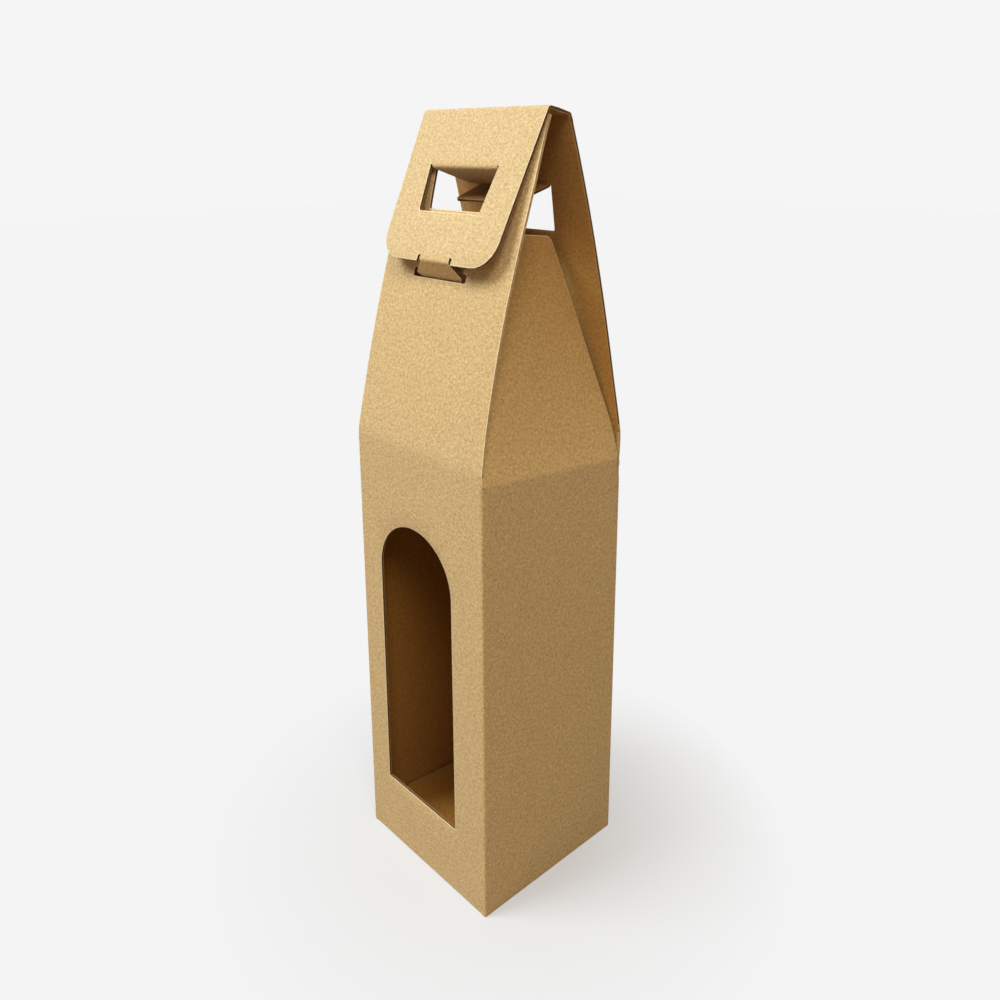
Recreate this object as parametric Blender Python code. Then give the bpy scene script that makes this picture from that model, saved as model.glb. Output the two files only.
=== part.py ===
# Single-bottle carrier carton, folded from one blank of thin corrugated kraft board.
# Metres, +Z up. The window faces -Y, the origin is the middle of the base.
# A square tube carries a front and a back gable panel that lean together under a narrow
# ridge. The lid hangs from the ridge over the front gable and locks in it with a tongue.

import math

import bmesh
import bpy
from mathutils import Matrix, Vector

# Board
BOARD = 0.0015
GAP = 0.0003
OVERRUN = 0.004
ARC_STEPS = 8
BOW_STEPS = 9

# Tube
TUBE_WIDTH = 0.085
TUBE_DEPTH = 0.085
SHOULDER_HEIGHT = 0.211
SIDE_CREASE_FRONT_DROP = 0.005
SIDE_CREASE_REAR_DROP = 0.013
GLUE_FLAP_WIDTH = 0.016
GLUE_FLAP_END_INSET = 0.006
GLUE_FLAP_RISE = 0.014

# Window in the front panel
WINDOW_WIDTH = 0.050
WINDOW_SILL = 0.034
WINDOW_HEIGHT = 0.140
WINDOW_OFFSET = -0.003

# Ridge: the lid's crease in front, the back gable's crease behind and a little lower
RIDGE_HEIGHT = 0.3525
RIDGE_Y = -0.0020
RIDGE_DEPTH = 0.0119
RIDGE_FALL = 0.0029

# Gable panels: they bow outwards, so the lean grows from the shoulder to the ridge
FRONT_GABLE_TOP_DROP = 0.0035
FRONT_GABLE_TOP_OFFSET = 0.0004
FRONT_BOW_TURN = math.radians(13.0)
BACK_BOW_TURN = math.radians(7.0)
GABLE_SHOULDER_TRIM = 0.0003
GABLE_TOP_TRIM = 0.0036

# Lid
LID_SPREAD = math.radians(9.0)
LID_LENGTH = 0.0685
LID_RIDGE_TRIM = 0.0041
LID_LOW_TRIM = 0.0074
LID_CORNER_RADIUS = 0.012

# Handle holes, alike in the lid and both gable panels, and their folded-in flaps
HOLE_TOP_WIDTH = 0.043
HOLE_LOW_WIDTH = 0.038
HOLE_HEIGHT = 0.021
LID_HOLE_DROP = 0.0256
BACK_HOLE_BELOW_FRONT = 0.0093
HANDLE_FLAP_CLEARANCE = 0.0008
HANDLE_FLAP_NEST = 0.0010
HANDLE_FLAP_RADIUS = 0.003
FRONT_FLAP_DROOP = math.radians(20.0)
BACK_FLAP_DROOP = math.radians(18.0)

# Lock: tongue on the lid, slot in the front gable
LOCK_OFFSET = -0.001
TONGUE_CREASE_RISE = 0.0015
TONGUE_CREASE_WIDTH = 0.0186
TONGUE_END_WIDTH = 0.0296
TONGUE_TIP_WIDTH = 0.0250
TONGUE_THROUGH = 0.0026
TONGUE_NOTCH_WIDTH = 0.0016
TONGUE_NOTCH_DEPTH = 0.0026
TONGUE_FALL = math.radians(51.5)
SLOT_WIDTH = 0.034
SLOT_HEIGHT = 0.0052
SLOT_SEAT = 0.0008

# Side gusset flaps between the gable panels
GUSSET_LEAN = math.radians(12.6)
GUSSET_TOP_SHARE = 0.622
GUSSET_EDGE_CLEARANCE = 0.0005
GUSSET_TOP_RADIUS = 0.004

# Bottom: an inner flap from the back panel, two side flaps and an outer flap from the front
FLOOR_FLAP_CLEARANCE = 0.0012
INNER_FLAP_SHARE = 0.8
INNER_FLAP_RISE = math.radians(5.0)
TAB_SLOT_CLEARANCE = 0.0018
INNER_CORNER_RADIUS = 0.006
SIDE_FLAP_SHARE = 0.4235
SIDE_FLAP_END_SHARE = 0.306
OUTER_FLAP_SHARE = 0.659
OUTER_FLAP_TIP_SHARE = 0.706
OUTER_CORNER_RADIUS = 0.008
LOCK_TAB_SHARE = 0.353
LOCK_TAB_LENGTH = 0.0125
LOCK_TAB_RADIUS = 0.004
LOCK_TAB_RISE = math.radians(24.0)

SIDE_CREASE_FRONT = SHOULDER_HEIGHT - SIDE_CREASE_FRONT_DROP
SIDE_CREASE_REAR = SHOULDER_HEIGHT - SIDE_CREASE_REAR_DROP
HALF_WIDTH = TUBE_WIDTH / 2
HALF_DEPTH = TUBE_DEPTH / 2
FLOOR_LAYER = BOARD + GAP

KRAFT_OUTER = (0.60, 0.42, 0.23)
KRAFT_INNER = (0.45, 0.30, 0.15)
KRAFT_ROUGHNESS = 0.85


def clear_scene():
    for old in list(bpy.data.objects):
        bpy.data.objects.remove(old, do_unlink=True)


def new_collection(name):
    made = bpy.data.collections.new(name)
    bpy.context.scene.collection.children.link(made)
    return made


clear_scene()
PARTS = new_collection("wine_box")
CUTTERS = new_collection("cutters")


def board_material(name, colour):
    made = bpy.data.materials.new(name)
    made.use_nodes = True
    shader = made.node_tree.nodes["Principled BSDF"]
    shader.inputs["Base Color"].default_value = (*colour, 1)
    shader.inputs["Roughness"].default_value = KRAFT_ROUGHNESS
    shader.inputs["Metallic"].default_value = 0
    return made


def add_object(name, mesh, collection):
    made = bpy.data.objects.new(name, mesh)
    collection.objects.link(made)
    return made


def finish_piece(obj, colour=KRAFT_OUTER):
    obj.data.materials.clear()
    obj.data.materials.append(board_material(obj.name + "_board", colour))
    return obj


# Outlines

def rounded(corners, steps=ARC_STEPS):
    """The outline through corners given as (u, v, radius), with an arc at each that has a radius."""
    outline = []
    count = len(corners)
    for index, (u, v, radius) in enumerate(corners):
        here = Vector((u, v))
        if radius == 0:
            outline.append(here)
            continue
        before = Vector(corners[index - 1][:2]) - here
        after = Vector(corners[(index + 1) % count][:2]) - here
        before.normalize()
        after.normalize()
        half = before.angle(after) / 2
        middle = here + (before + after).normalized() * (radius / math.sin(half))
        start = here + before * (radius / math.tan(half)) - middle
        sweep = start.angle_signed(here + after * (radius / math.tan(half)) - middle)
        for step in range(steps + 1):
            turn = -sweep * step / steps
            outline.append(middle + Matrix.Rotation(turn, 2) @ start)
    return outline


def arched(left, right, low, high):
    """A rectangle whose top is a half circle."""
    radius = (right - left) / 2
    centre_u = (right + left) / 2
    centre_v = high - radius
    outline = [Vector((left, low)), Vector((right, low))]
    for step in range(2 * ARC_STEPS + 1):
        turn = math.pi * step / (2 * ARC_STEPS)
        outline.append(Vector((centre_u + radius * math.cos(turn), centre_v + radius * math.sin(turn))))
    return outline


# Solids

def prism(name, outlines, thickness, collection):
    """Closed solid of flat outlines, the first the rim and the rest its holes, centred on its plane."""
    curve = bpy.data.curves.new(name, "CURVE")
    curve.dimensions = "2D"
    curve.fill_mode = "BOTH"
    curve.extrude = thickness / 2
    for outline in outlines:
        spline = curve.splines.new("POLY")
        spline.points.add(len(outline) - 1)
        for point, place in zip(spline.points, outline):
            point.co = (place[0], place[1], 0, 1)
        spline.use_cyclic_u = True
    drawn = add_object(name + "_outline", curve, collection)
    bpy.context.view_layer.update()
    graph = bpy.context.evaluated_depsgraph_get()
    mesh = bpy.data.meshes.new_from_object(drawn.evaluated_get(graph))
    mesh.name = name
    bpy.data.objects.remove(drawn)
    welded = bmesh.new()
    welded.from_mesh(mesh)
    bmesh.ops.remove_doubles(welded, verts=welded.verts, dist=GAP / ARC_STEPS)
    bmesh.ops.recalc_face_normals(welded, faces=welded.faces)
    welded.to_mesh(mesh)
    welded.free()
    return add_object(name, mesh, collection)


def cutter(name, outline, thickness, matrix):
    made = prism(name, [outline], thickness, CUTTERS)
    made.matrix_world = matrix
    made.hide_render = True
    made.display_type = "WIRE"
    return made


def boolean(obj, tool, operation="DIFFERENCE"):
    modifier = obj.modifiers.new(tool.name, "BOOLEAN")
    modifier.operation = operation
    modifier.object = tool
    modifier.solver = "EXACT"
    return modifier


def frame_at(origin, along, inward):
    """Placement of a sheet: local Y runs along it from its crease, local Z points into the box."""
    across = along.cross(inward)
    matrix = Matrix((across, along, inward)).transposed().to_4x4()
    matrix.translation = origin
    return matrix


def sheet(name, outlines, matrix):
    """A flat board whose inner face is the local plane, so it folds about its inner face."""
    made = prism(name, outlines, BOARD, PARTS)
    made.data.transform(Matrix.Translation((0, 0, -BOARD / 2)))
    made.matrix_world = matrix
    return finish_piece(made)


def wall(name, half_outer, left_top, right_top, matrix):
    """A tube wall from a cube. Its upright edges are mitred, so walls meet along the corner's diagonal."""
    mesh = bpy.data.meshes.new(name)
    shaped = bmesh.new()
    bmesh.ops.create_cube(shaped, size=2)
    for vertex in shaped.verts:
        left = vertex.co.x < 0
        inner = vertex.co.z > 0
        half = half_outer - GAP - (BOARD if inner else 0)
        top = left_top if left else right_top
        vertex.co = Vector((-half if left else half, top if vertex.co.y > 0 else 0, 0 if inner else -BOARD))
    shaped.to_mesh(mesh)
    shaped.free()
    made = add_object(name, mesh, PARTS)
    made.matrix_world = matrix
    return finish_piece(made)


UP = Vector((0, 0, 1))
EAST = Vector((1, 0, 0))
NORTH = Vector((0, 1, 0))


# Bowed gable panels

class Gable:
    """The bowed line of a gable panel's outer face, followed by distance from its shoulder crease.

    It is an arc from the shoulder to its top edge, given by the top's y and z and the bow's turn."""

    def __init__(self, side, top_y, top_z, turn):
        inset = HALF_DEPTH - side * top_y
        rise = top_z - SHOULDER_HEIGHT
        self.side = side
        self.mean = math.atan2(inset, rise)
        self.low = self.mean - turn / 2
        self.rate = 2 * math.sin(turn / 2) / math.hypot(inset, rise)
        self.length = turn / self.rate

    def lean(self, along):
        return self.low + self.rate * along

    def outer(self, along):
        y = (math.cos(self.low) - math.cos(self.lean(along))) / self.rate
        z = (math.sin(self.lean(along)) - math.sin(self.low)) / self.rate
        return Vector((0, self.side * (HALF_DEPTH - y), SHOULDER_HEIGHT + z))

    def inward(self, along):
        lean = self.lean(along)
        return Vector((0, -self.side * math.cos(lean), -math.sin(lean)))

    def down(self, along):
        lean = self.lean(along)
        return Vector((0, self.side * math.sin(lean), -math.cos(lean)))

    def inner(self, along):
        return self.outer(along) + self.inward(along) * BOARD

    def along_at(self, height):
        """Distance along the panel at which its inner face is at this height."""
        low, high = 0, self.length
        for _ in range(2 * BOW_STEPS + 2 * ARC_STEPS):
            middle = (low + high) / 2
            if self.inner(middle).z < height:
                low = middle
            else:
                high = middle
        return low

    def inner_y(self, height):
        if height <= SHOULDER_HEIGHT:
            return self.side * (HALF_DEPTH - BOARD)
        return self.inner(self.along_at(height)).y


FRONT = Gable(-1, RIDGE_Y + FRONT_GABLE_TOP_OFFSET, RIDGE_HEIGHT - FRONT_GABLE_TOP_DROP, FRONT_BOW_TURN)
BACK = Gable(1, RIDGE_Y + RIDGE_DEPTH, RIDGE_HEIGHT - RIDGE_FALL, BACK_BOW_TURN)
LID_LEAN = FRONT.mean + LID_SPREAD
LID_ALONG = Vector((0, -math.sin(LID_LEAN), -math.cos(LID_LEAN)))
LID_IN = Vector((0, math.cos(LID_LEAN), -math.sin(LID_LEAN)))
LID_CREASE = Vector((0, RIDGE_Y, RIDGE_HEIGHT))


def where_below(gable, origin, normal):
    """Distance along the panel at which its inner face meets the plane through origin."""
    low, high = gable.length / 2, gable.length
    for _ in range(2 * BOW_STEPS + 2 * ARC_STEPS):
        middle = (low + high) / 2
        if (gable.inner(middle) - origin).dot(normal) < 0:
            low = middle
        else:
            high = middle
    return low


# The lid's handle flap droops into the box, and the front gable's lies nested on it.
FLAP_DOWN = Vector((0, math.cos(FRONT_FLAP_DROOP), -math.sin(FRONT_FLAP_DROOP)))
FLAP_UP = Vector((0, math.sin(FRONT_FLAP_DROOP), math.cos(FRONT_FLAP_DROOP)))
LID_HINGE = LID_CREASE + LID_ALONG * LID_HOLE_DROP + LID_IN * BOARD
FRONT_HOLE = where_below(FRONT, LID_HINGE + FLAP_UP * (BOARD + HANDLE_FLAP_NEST), FLAP_UP)
BACK_HOLE = BACK.along_at(FRONT.inner(FRONT_HOLE).z - BACK_HOLE_BELOW_FRONT)

# The tongue falls inwards from the lid's lower edge and passes the slot low down.
TONGUE_CREASE = LID_CREASE + LID_ALONG * (LID_LENGTH - TONGUE_CREASE_RISE) + LID_IN * BOARD
TONGUE_ALONG = Vector((0, math.cos(TONGUE_FALL), -math.sin(TONGUE_FALL)))
TONGUE_IN = Vector((0, math.sin(TONGUE_FALL), math.cos(TONGUE_FALL)))


def tongue_seat():
    """Distance along the front gable at which its outer face meets the tongue's inner face."""
    low, high = 0, FRONT.length
    for _ in range(2 * BOW_STEPS + 2 * ARC_STEPS):
        middle = (low + high) / 2
        if (FRONT.outer(middle) - TONGUE_CREASE).dot(TONGUE_IN) < 0:
            low = middle
        else:
            high = middle
    return low


TONGUE_SEAT = tongue_seat()


def gable_panel(name, gable, mitre):
    """The bowed board, extruded from its side view and trimmed to its tapered front view.

    Its inner face stops short of the tube wall's square top, and of the ridge by the mitre."""
    start = GAP / 2
    end = gable.length - GAP / 2
    heel = start + BOARD * math.tan(gable.low)
    outer = []
    inner = []
    for step in range(BOW_STEPS + 1):
        share = step / BOW_STEPS
        outer.append(gable.outer(start + (end - start) * share).yz)
        inner.append(gable.inner(heel + (end - mitre - heel) * share).yz)
    profile = outer + inner[::-1]
    made = prism(name, [profile], TUBE_WIDTH, PARTS)
    made.matrix_world = Matrix(((0, 0, 1, 0), (1, 0, 0, 0), (0, 1, 0, 0), (0, 0, 0, 1)))
    shoulder = HALF_WIDTH - GABLE_SHOULDER_TRIM
    top = HALF_WIDTH - GABLE_TOP_TRIM
    low = SHOULDER_HEIGHT - OVERRUN
    high = RIDGE_HEIGHT + OVERRUN
    front_view = [(-shoulder, low), (shoulder, low), (top, high), (-top, high)]
    across = Matrix(((1, 0, 0, 0), (0, 0, -1, 0), (0, 1, 0, 0), (0, 0, 0, 1)))
    boolean(made, cutter(name + "_trim", front_view, 2 * TUBE_DEPTH, across), "INTERSECT")
    return finish_piece(made)


def handle_hole():
    """The hole's outline, local Y running down from its top edge."""
    top = HOLE_TOP_WIDTH / 2
    low = HOLE_LOW_WIDTH / 2
    return [Vector((-top, 0)), Vector((top, 0)), Vector((low, HOLE_HEIGHT)), Vector((-low, HOLE_HEIGHT))]


def handle_flap(name, origin, along, inward):
    """The flap cut from a handle hole, still joined along the hole's top edge."""
    side = HANDLE_FLAP_CLEARANCE
    top = HOLE_TOP_WIDTH / 2 - side
    low = HOLE_LOW_WIDTH / 2 - side
    end = HOLE_HEIGHT - side
    outline = rounded([
        (-top, GAP, 0), (top, GAP, 0), (low, end, HANDLE_FLAP_RADIUS), (-low, end, HANDLE_FLAP_RADIUS),
    ])
    return sheet(name, [outline], frame_at(origin, along, inward))


def cut_in_gable(panel, gable, name, along, outline):
    """Cuts an outline square through the board, its local origin this far along from the shoulder."""
    matrix = frame_at(gable.inner(along), gable.down(along), gable.inward(along))
    boolean(panel, cutter(name, outline, 2 * OVERRUN, matrix))
    return matrix


# Tube

def build_tube():
    inner_depth = HALF_DEPTH - BOARD
    inner_width = HALF_WIDTH - BOARD
    top = SHOULDER_HEIGHT - GAP / 2
    front = wall(
        "front_panel", HALF_WIDTH, top, top,
        frame_at(Vector((0, -inner_depth, 0)), UP, NORTH),
    )
    left = WINDOW_OFFSET - WINDOW_WIDTH / 2
    right = WINDOW_OFFSET + WINDOW_WIDTH / 2
    window = arched(left, right, WINDOW_SILL, WINDOW_SILL + WINDOW_HEIGHT)
    # The front wall's local X runs towards -X, so the outline is mirrored.
    window = [Vector((-point.x, point.y)) for point in window][::-1]
    boolean(front, cutter("window_cut", window, 2 * OVERRUN, front.matrix_world))
    wall(
        "back_panel", HALF_WIDTH, top, top,
        frame_at(Vector((0, inner_depth, 0)), UP, -NORTH),
    )
    rear = SIDE_CREASE_REAR - GAP / 2
    fore = SIDE_CREASE_FRONT - GAP / 2
    wall(
        "right_panel", HALF_DEPTH, rear, fore,
        frame_at(Vector((inner_width, 0, 0)), UP, -EAST),
    )
    wall(
        "left_panel", HALF_DEPTH, fore, rear,
        frame_at(Vector((-inner_width, 0, 0)), UP, EAST),
    )
    build_glue_flap(inner_width, inner_depth)


def build_glue_flap(inner_width, inner_depth):
    """The strip that closes the tube, from the left panel's rear edge, glued inside the back panel."""
    low = GLUE_FLAP_RISE
    high = SIDE_CREASE_REAR - GLUE_FLAP_END_INSET
    outline = [
        Vector((GAP, low)), Vector((GLUE_FLAP_WIDTH, low + GLUE_FLAP_END_INSET)),
        Vector((GLUE_FLAP_WIDTH, high - GLUE_FLAP_END_INSET)), Vector((GAP, high)),
    ]
    made = prism("glue_flap", [outline], BOARD, PARTS)
    # Local X runs east, local Y up and local Z towards the front.
    facing = Matrix(((1, 0, 0, 0), (0, 0, -1, 0), (0, 1, 0, 0), (0, 0, 0, 1)))
    middle = Vector((-inner_width, inner_depth - GAP - BOARD / 2, 0))
    made.matrix_world = Matrix.Translation(middle) @ facing
    finish_piece(made, KRAFT_INNER)


# Roof

def mitred_strip(outer_start, outer_end, inward, start_mitre, end_mitre):
    """Side view of a board between two creases, its inner face shorter by the mitres."""
    along = (outer_end - outer_start).normalized()
    return [
        (outer_start + along * GAP / 2).yz,
        (outer_end - along * GAP / 2).yz,
        (outer_end - along * (GAP / 2 + end_mitre) + inward * BOARD).yz,
        (outer_start + along * (GAP / 2 + start_mitre) + inward * BOARD).yz,
    ]


def build_roof():
    back_crease = BACK.outer(BACK.length)
    spine_along = (LID_CREASE - back_crease).normalized()
    spine_in = Vector((0, -spine_along.z, spine_along.y))
    back_turn = (-BACK.down(BACK.length)).angle(spine_along)
    lid_turn = spine_along.angle(LID_ALONG)
    back_mitre = BOARD * math.tan(back_turn / 2)
    lid_mitre = BOARD * math.tan(lid_turn / 2)
    build_back_gable(back_mitre)
    build_front_gable()
    build_spine(back_crease, spine_in, back_mitre, lid_mitre)
    build_lid(lid_mitre)


def build_back_gable(mitre):
    panel = gable_panel("back_gable_panel", BACK, mitre)
    hole = cut_in_gable(panel, BACK, "back_hole", BACK_HOLE, handle_hole())
    down = Vector((0, -math.cos(BACK_FLAP_DROOP), -math.sin(BACK_FLAP_DROOP)))
    up = Vector((0, -math.sin(BACK_FLAP_DROOP), math.cos(BACK_FLAP_DROOP)))
    handle_flap("back_handle_flap", hole.translation, down, up)


def build_front_gable():
    panel = gable_panel("front_gable_panel", FRONT, 0)
    hole = cut_in_gable(panel, FRONT, "front_hole", FRONT_HOLE, handle_hole())
    handle_flap("front_handle_flap", hole.translation, FLAP_DOWN, FLAP_UP)
    half = SLOT_WIDTH / 2
    low = SLOT_SEAT + BOARD / math.cos(TONGUE_FALL)
    slot = [
        Vector((LOCK_OFFSET - half, low - SLOT_HEIGHT)), Vector((LOCK_OFFSET + half, low - SLOT_HEIGHT)),
        Vector((LOCK_OFFSET + half, low)), Vector((LOCK_OFFSET - half, low)),
    ]
    cut_in_gable(panel, FRONT, "lock_slot", TONGUE_SEAT, slot)


def build_spine(back_crease, inward, back_mitre, lid_mitre):
    """The narrow top of the ridge, from the back gable's crease to the lid's narrower one."""
    profile = mitred_strip(back_crease, LID_CREASE, inward, back_mitre, lid_mitre)
    profile = [Vector((point.x - back_crease.y, point.y - back_crease.z)) for point in profile]
    made = prism("ridge_spine", [profile], TUBE_WIDTH, PARTS)
    side_view = Matrix(((0, 0, 1, 0), (1, 0, 0, 0), (0, 1, 0, 0), (0, 0, 0, 1)))
    made.matrix_world = Matrix.Translation(back_crease) @ side_view
    rear = HALF_WIDTH - GABLE_TOP_TRIM
    fore = HALF_WIDTH - LID_RIDGE_TRIM
    plan = [
        (-fore, RIDGE_Y - OVERRUN), (fore, RIDGE_Y - OVERRUN), (fore, RIDGE_Y),
        (rear, back_crease.y), (rear, back_crease.y + OVERRUN), (-rear, back_crease.y + OVERRUN),
        (-rear, back_crease.y), (-fore, RIDGE_Y),
    ]
    above = Matrix.Translation(Vector((0, 0, RIDGE_HEIGHT)))
    boolean(made, cutter("spine_trim", plan, TUBE_DEPTH, above), "INTERSECT")
    finish_piece(made)


def build_lid(mitre):
    """The lid, hung from its outer crease, with handle hole, notched lower edge and round corners."""
    half_top = HALF_WIDTH - LID_RIDGE_TRIM
    half_low = HALF_WIDTH - LID_LOW_TRIM
    half_crease = TONGUE_CREASE_WIDTH / 2
    crease_line = LID_LENGTH - TONGUE_CREASE_RISE
    notch = half_crease + TONGUE_NOTCH_WIDTH
    notch_top = LID_LENGTH - TONGUE_NOTCH_DEPTH
    rim = rounded([
        (half_top, GAP / 2, 0), (half_low, LID_LENGTH, LID_CORNER_RADIUS),
        (LOCK_OFFSET + notch, LID_LENGTH, 0), (LOCK_OFFSET + notch, notch_top, 0),
        (LOCK_OFFSET + half_crease, notch_top, 0), (LOCK_OFFSET + half_crease, crease_line, 0),
        (LOCK_OFFSET - half_crease, crease_line, 0), (LOCK_OFFSET - half_crease, notch_top, 0),
        (LOCK_OFFSET - notch, notch_top, 0), (LOCK_OFFSET - notch, LID_LENGTH, 0),
        (-half_low, LID_LENGTH, LID_CORNER_RADIUS), (-half_top, GAP / 2, 0),
    ])
    hole = [Vector((point.x, point.y + LID_HOLE_DROP)) for point in handle_hole()]
    made = prism("lid_panel", [rim, hole], BOARD, PARTS)
    for vertex in made.data.vertices:
        if vertex.co.y < GAP and vertex.co.z > 0:
            vertex.co.y += mitre
    made.data.transform(Matrix.Translation((0, 0, BOARD / 2)))
    made.matrix_world = frame_at(LID_CREASE, LID_ALONG, LID_IN)
    finish_piece(made)
    handle_flap("lid_handle_flap", LID_HINGE, FLAP_DOWN, FLAP_UP)
    build_tongue()


def build_tongue():
    """The lock tongue, folded in from the lid's lower edge and through the slot."""
    outside = (FRONT.outer(TONGUE_SEAT) - TONGUE_CREASE).length
    length = outside + TONGUE_THROUGH
    root = TONGUE_CREASE_WIDTH / 2 - GAP
    end = TONGUE_END_WIDTH / 2
    tip = TONGUE_TIP_WIDTH / 2
    outline = [
        Vector((LOCK_OFFSET - root, GAP)), Vector((LOCK_OFFSET + root, GAP)),
        Vector((LOCK_OFFSET + end, outside)), Vector((LOCK_OFFSET + tip, length)),
        Vector((LOCK_OFFSET - tip, length)), Vector((LOCK_OFFSET - end, outside)),
    ]
    sheet("lid_lock_tongue", [outline], frame_at(TONGUE_CREASE, TONGUE_ALONG, TONGUE_IN))


# Side gussets

def build_gusset(name, side):
    """A side flap that leans in between the gable panels, its edges set off their inner faces."""
    inner_width = HALF_WIDTH - BOARD
    run = TUBE_DEPTH
    drop = SIDE_CREASE_FRONT - SIDE_CREASE_REAR
    slope = math.atan2(drop, run)
    origin = Vector((side * inner_width, 0, (SIDE_CREASE_FRONT + SIDE_CREASE_REAR) / 2))
    crease = Vector((0, math.cos(slope), -math.sin(slope)))
    upright = Vector((0, math.sin(slope), math.cos(slope)))
    along = upright * math.cos(GUSSET_LEAN) - EAST * side * math.sin(GUSSET_LEAN)
    inward = -EAST * side * math.cos(GUSSET_LEAN) - upright * math.sin(GUSSET_LEAN)
    matrix = frame_at(origin, along, inward)
    mirror = 1 if matrix.to_3x3().col[0].dot(crease) > 0 else -1

    def local(y, z, radius=0):
        offset = Vector((0, y - origin.y, z - origin.z))
        return (mirror * offset.dot(crease), offset.dot(upright) / math.cos(GUSSET_LEAN), radius)

    clear = GUSSET_EDGE_CLEARANCE
    fore_wall = FRONT.inner_y(SHOULDER_HEIGHT) + clear
    rear_wall = BACK.inner_y(SHOULDER_HEIGHT) - clear
    root_v = GAP
    top_rear_z = SHOULDER_HEIGHT + (RIDGE_HEIGHT - SHOULDER_HEIGHT) * GUSSET_TOP_SHARE
    top_fore_z = top_rear_z + math.tan(slope) * HALF_DEPTH
    fore_root = local(fore_wall, SIDE_CREASE_FRONT)
    rear_root = local(rear_wall, SIDE_CREASE_REAR)
    corners = [
        (fore_root[0], root_v, 0),
        (rear_root[0], root_v, 0),
        local(rear_wall, SHOULDER_HEIGHT - clear),
        local(BACK.inner_y(top_rear_z) - clear, top_rear_z, GUSSET_TOP_RADIUS),
        local(FRONT.inner_y(top_fore_z) + clear, top_fore_z, GUSSET_TOP_RADIUS),
        local(fore_wall, SHOULDER_HEIGHT - clear),
    ]
    sheet(name, [rounded(corners)], matrix)


# Bottom

def floor_flap(name, outline, matrix):
    """A flap that opens downwards, so it turns about its outer face, the local plane."""
    made = prism(name, [outline], BOARD, PARTS)
    made.data.transform(Matrix.Translation((0, 0, BOARD / 2)))
    made.matrix_world = matrix
    return finish_piece(made, KRAFT_INNER)


def build_bottom():
    inner_depth = HALF_DEPTH - BOARD
    inner_width = HALF_WIDTH - BOARD
    side = inner_width - FLOOR_FLAP_CLEARANCE

    half_tip = HALF_WIDTH * OUTER_FLAP_TIP_SHARE
    outer_length = TUBE_DEPTH * OUTER_FLAP_SHARE
    outer = rounded([
        (-side, GAP, 0), (side, GAP, 0), (half_tip, outer_length, OUTER_CORNER_RADIUS),
        (-half_tip, outer_length, OUTER_CORNER_RADIUS),
    ])
    outer_matrix = frame_at(Vector((0, -inner_depth, 0)), NORTH, UP)
    floor_flap("bottom_front_flap", outer, outer_matrix)

    rise = Vector((0, math.cos(LOCK_TAB_RISE), math.sin(LOCK_TAB_RISE)))
    over = Vector((0, -math.sin(LOCK_TAB_RISE), math.cos(LOCK_TAB_RISE)))
    half_tab = HALF_WIDTH * LOCK_TAB_SHARE
    tab = rounded([
        (-half_tab, GAP, 0), (half_tab, GAP, 0), (half_tab, LOCK_TAB_LENGTH, LOCK_TAB_RADIUS),
        (-half_tab, LOCK_TAB_LENGTH, LOCK_TAB_RADIUS),
    ])
    tab_crease = outer_matrix @ Vector((0, outer_length, BOARD))
    finish_piece(sheet("bottom_lock_tab", [tab], frame_at(tab_crease, rise, over)), KRAFT_INNER)

    root = inner_depth - FLOOR_FLAP_CLEARANCE
    half_end = HALF_DEPTH * SIDE_FLAP_END_SHARE
    reach = TUBE_WIDTH * SIDE_FLAP_SHARE
    slant = min(inner_depth - half_end, reach - GAP)
    outline = [
        (-root, GAP), (root, GAP), (half_end, slant), (half_end, reach), (-half_end, reach), (-half_end, slant),
    ]
    for name, sign in (("bottom_left_flap", -1), ("bottom_right_flap", 1)):
        matrix = frame_at(Vector((sign * inner_width, 0, FLOOR_LAYER)), -EAST * sign, UP)
        floor_flap(name, outline, matrix)

    inner_length = TUBE_DEPTH * INNER_FLAP_SHARE
    inner = rounded([
        (-side, GAP, 0), (side, GAP, 0), (side, inner_length, INNER_CORNER_RADIUS),
        (-side, inner_length, INNER_CORNER_RADIUS),
    ])
    # The tab comes up through this slot, which clears it while either flap swings.
    half_slot = half_tab + TAB_SLOT_CLEARANCE
    slot_end = inner_depth - tab_crease.y + TAB_SLOT_CLEARANCE
    slot_start = slot_end - LOCK_TAB_LENGTH - 2 * TAB_SLOT_CLEARANCE
    tab_slot = [
        Vector((-half_slot, slot_start)), Vector((half_slot, slot_start)),
        Vector((half_slot, slot_end)), Vector((-half_slot, slot_end)),
    ]
    along = Vector((0, -math.cos(INNER_FLAP_RISE), math.sin(INNER_FLAP_RISE)))
    normal = Vector((0, math.sin(INNER_FLAP_RISE), math.cos(INNER_FLAP_RISE)))
    origin = Vector((0, inner_depth, 2 * FLOOR_LAYER + BOARD))
    flap = sheet("bottom_back_flap", [inner, tab_slot], frame_at(origin, along, normal))
    finish_piece(flap, KRAFT_INNER)


# Each piece hangs from the one that it is creased to.
CREASED_TO = {
    "right_panel": "front_panel",
    "left_panel": "front_panel",
    "back_panel": "right_panel",
    "glue_flap": "left_panel",
    "front_gable_panel": "front_panel",
    "back_gable_panel": "back_panel",
    "ridge_spine": "back_gable_panel",
    "lid_panel": "ridge_spine",
    "lid_lock_tongue": "lid_panel",
    "lid_handle_flap": "lid_panel",
    "front_handle_flap": "front_gable_panel",
    "back_handle_flap": "back_gable_panel",
    "left_gusset_flap": "left_panel",
    "right_gusset_flap": "right_panel",
    "bottom_front_flap": "front_panel",
    "bottom_lock_tab": "bottom_front_flap",
    "bottom_left_flap": "left_panel",
    "bottom_right_flap": "right_panel",
    "bottom_back_flap": "back_panel",
}


def hang_pieces():
    bpy.context.view_layer.update()
    for name, holder in CREASED_TO.items():
        piece = PARTS.objects[name]
        piece.parent = PARTS.objects[holder]
        piece.matrix_parent_inverse = PARTS.objects[holder].matrix_world.inverted()


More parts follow.
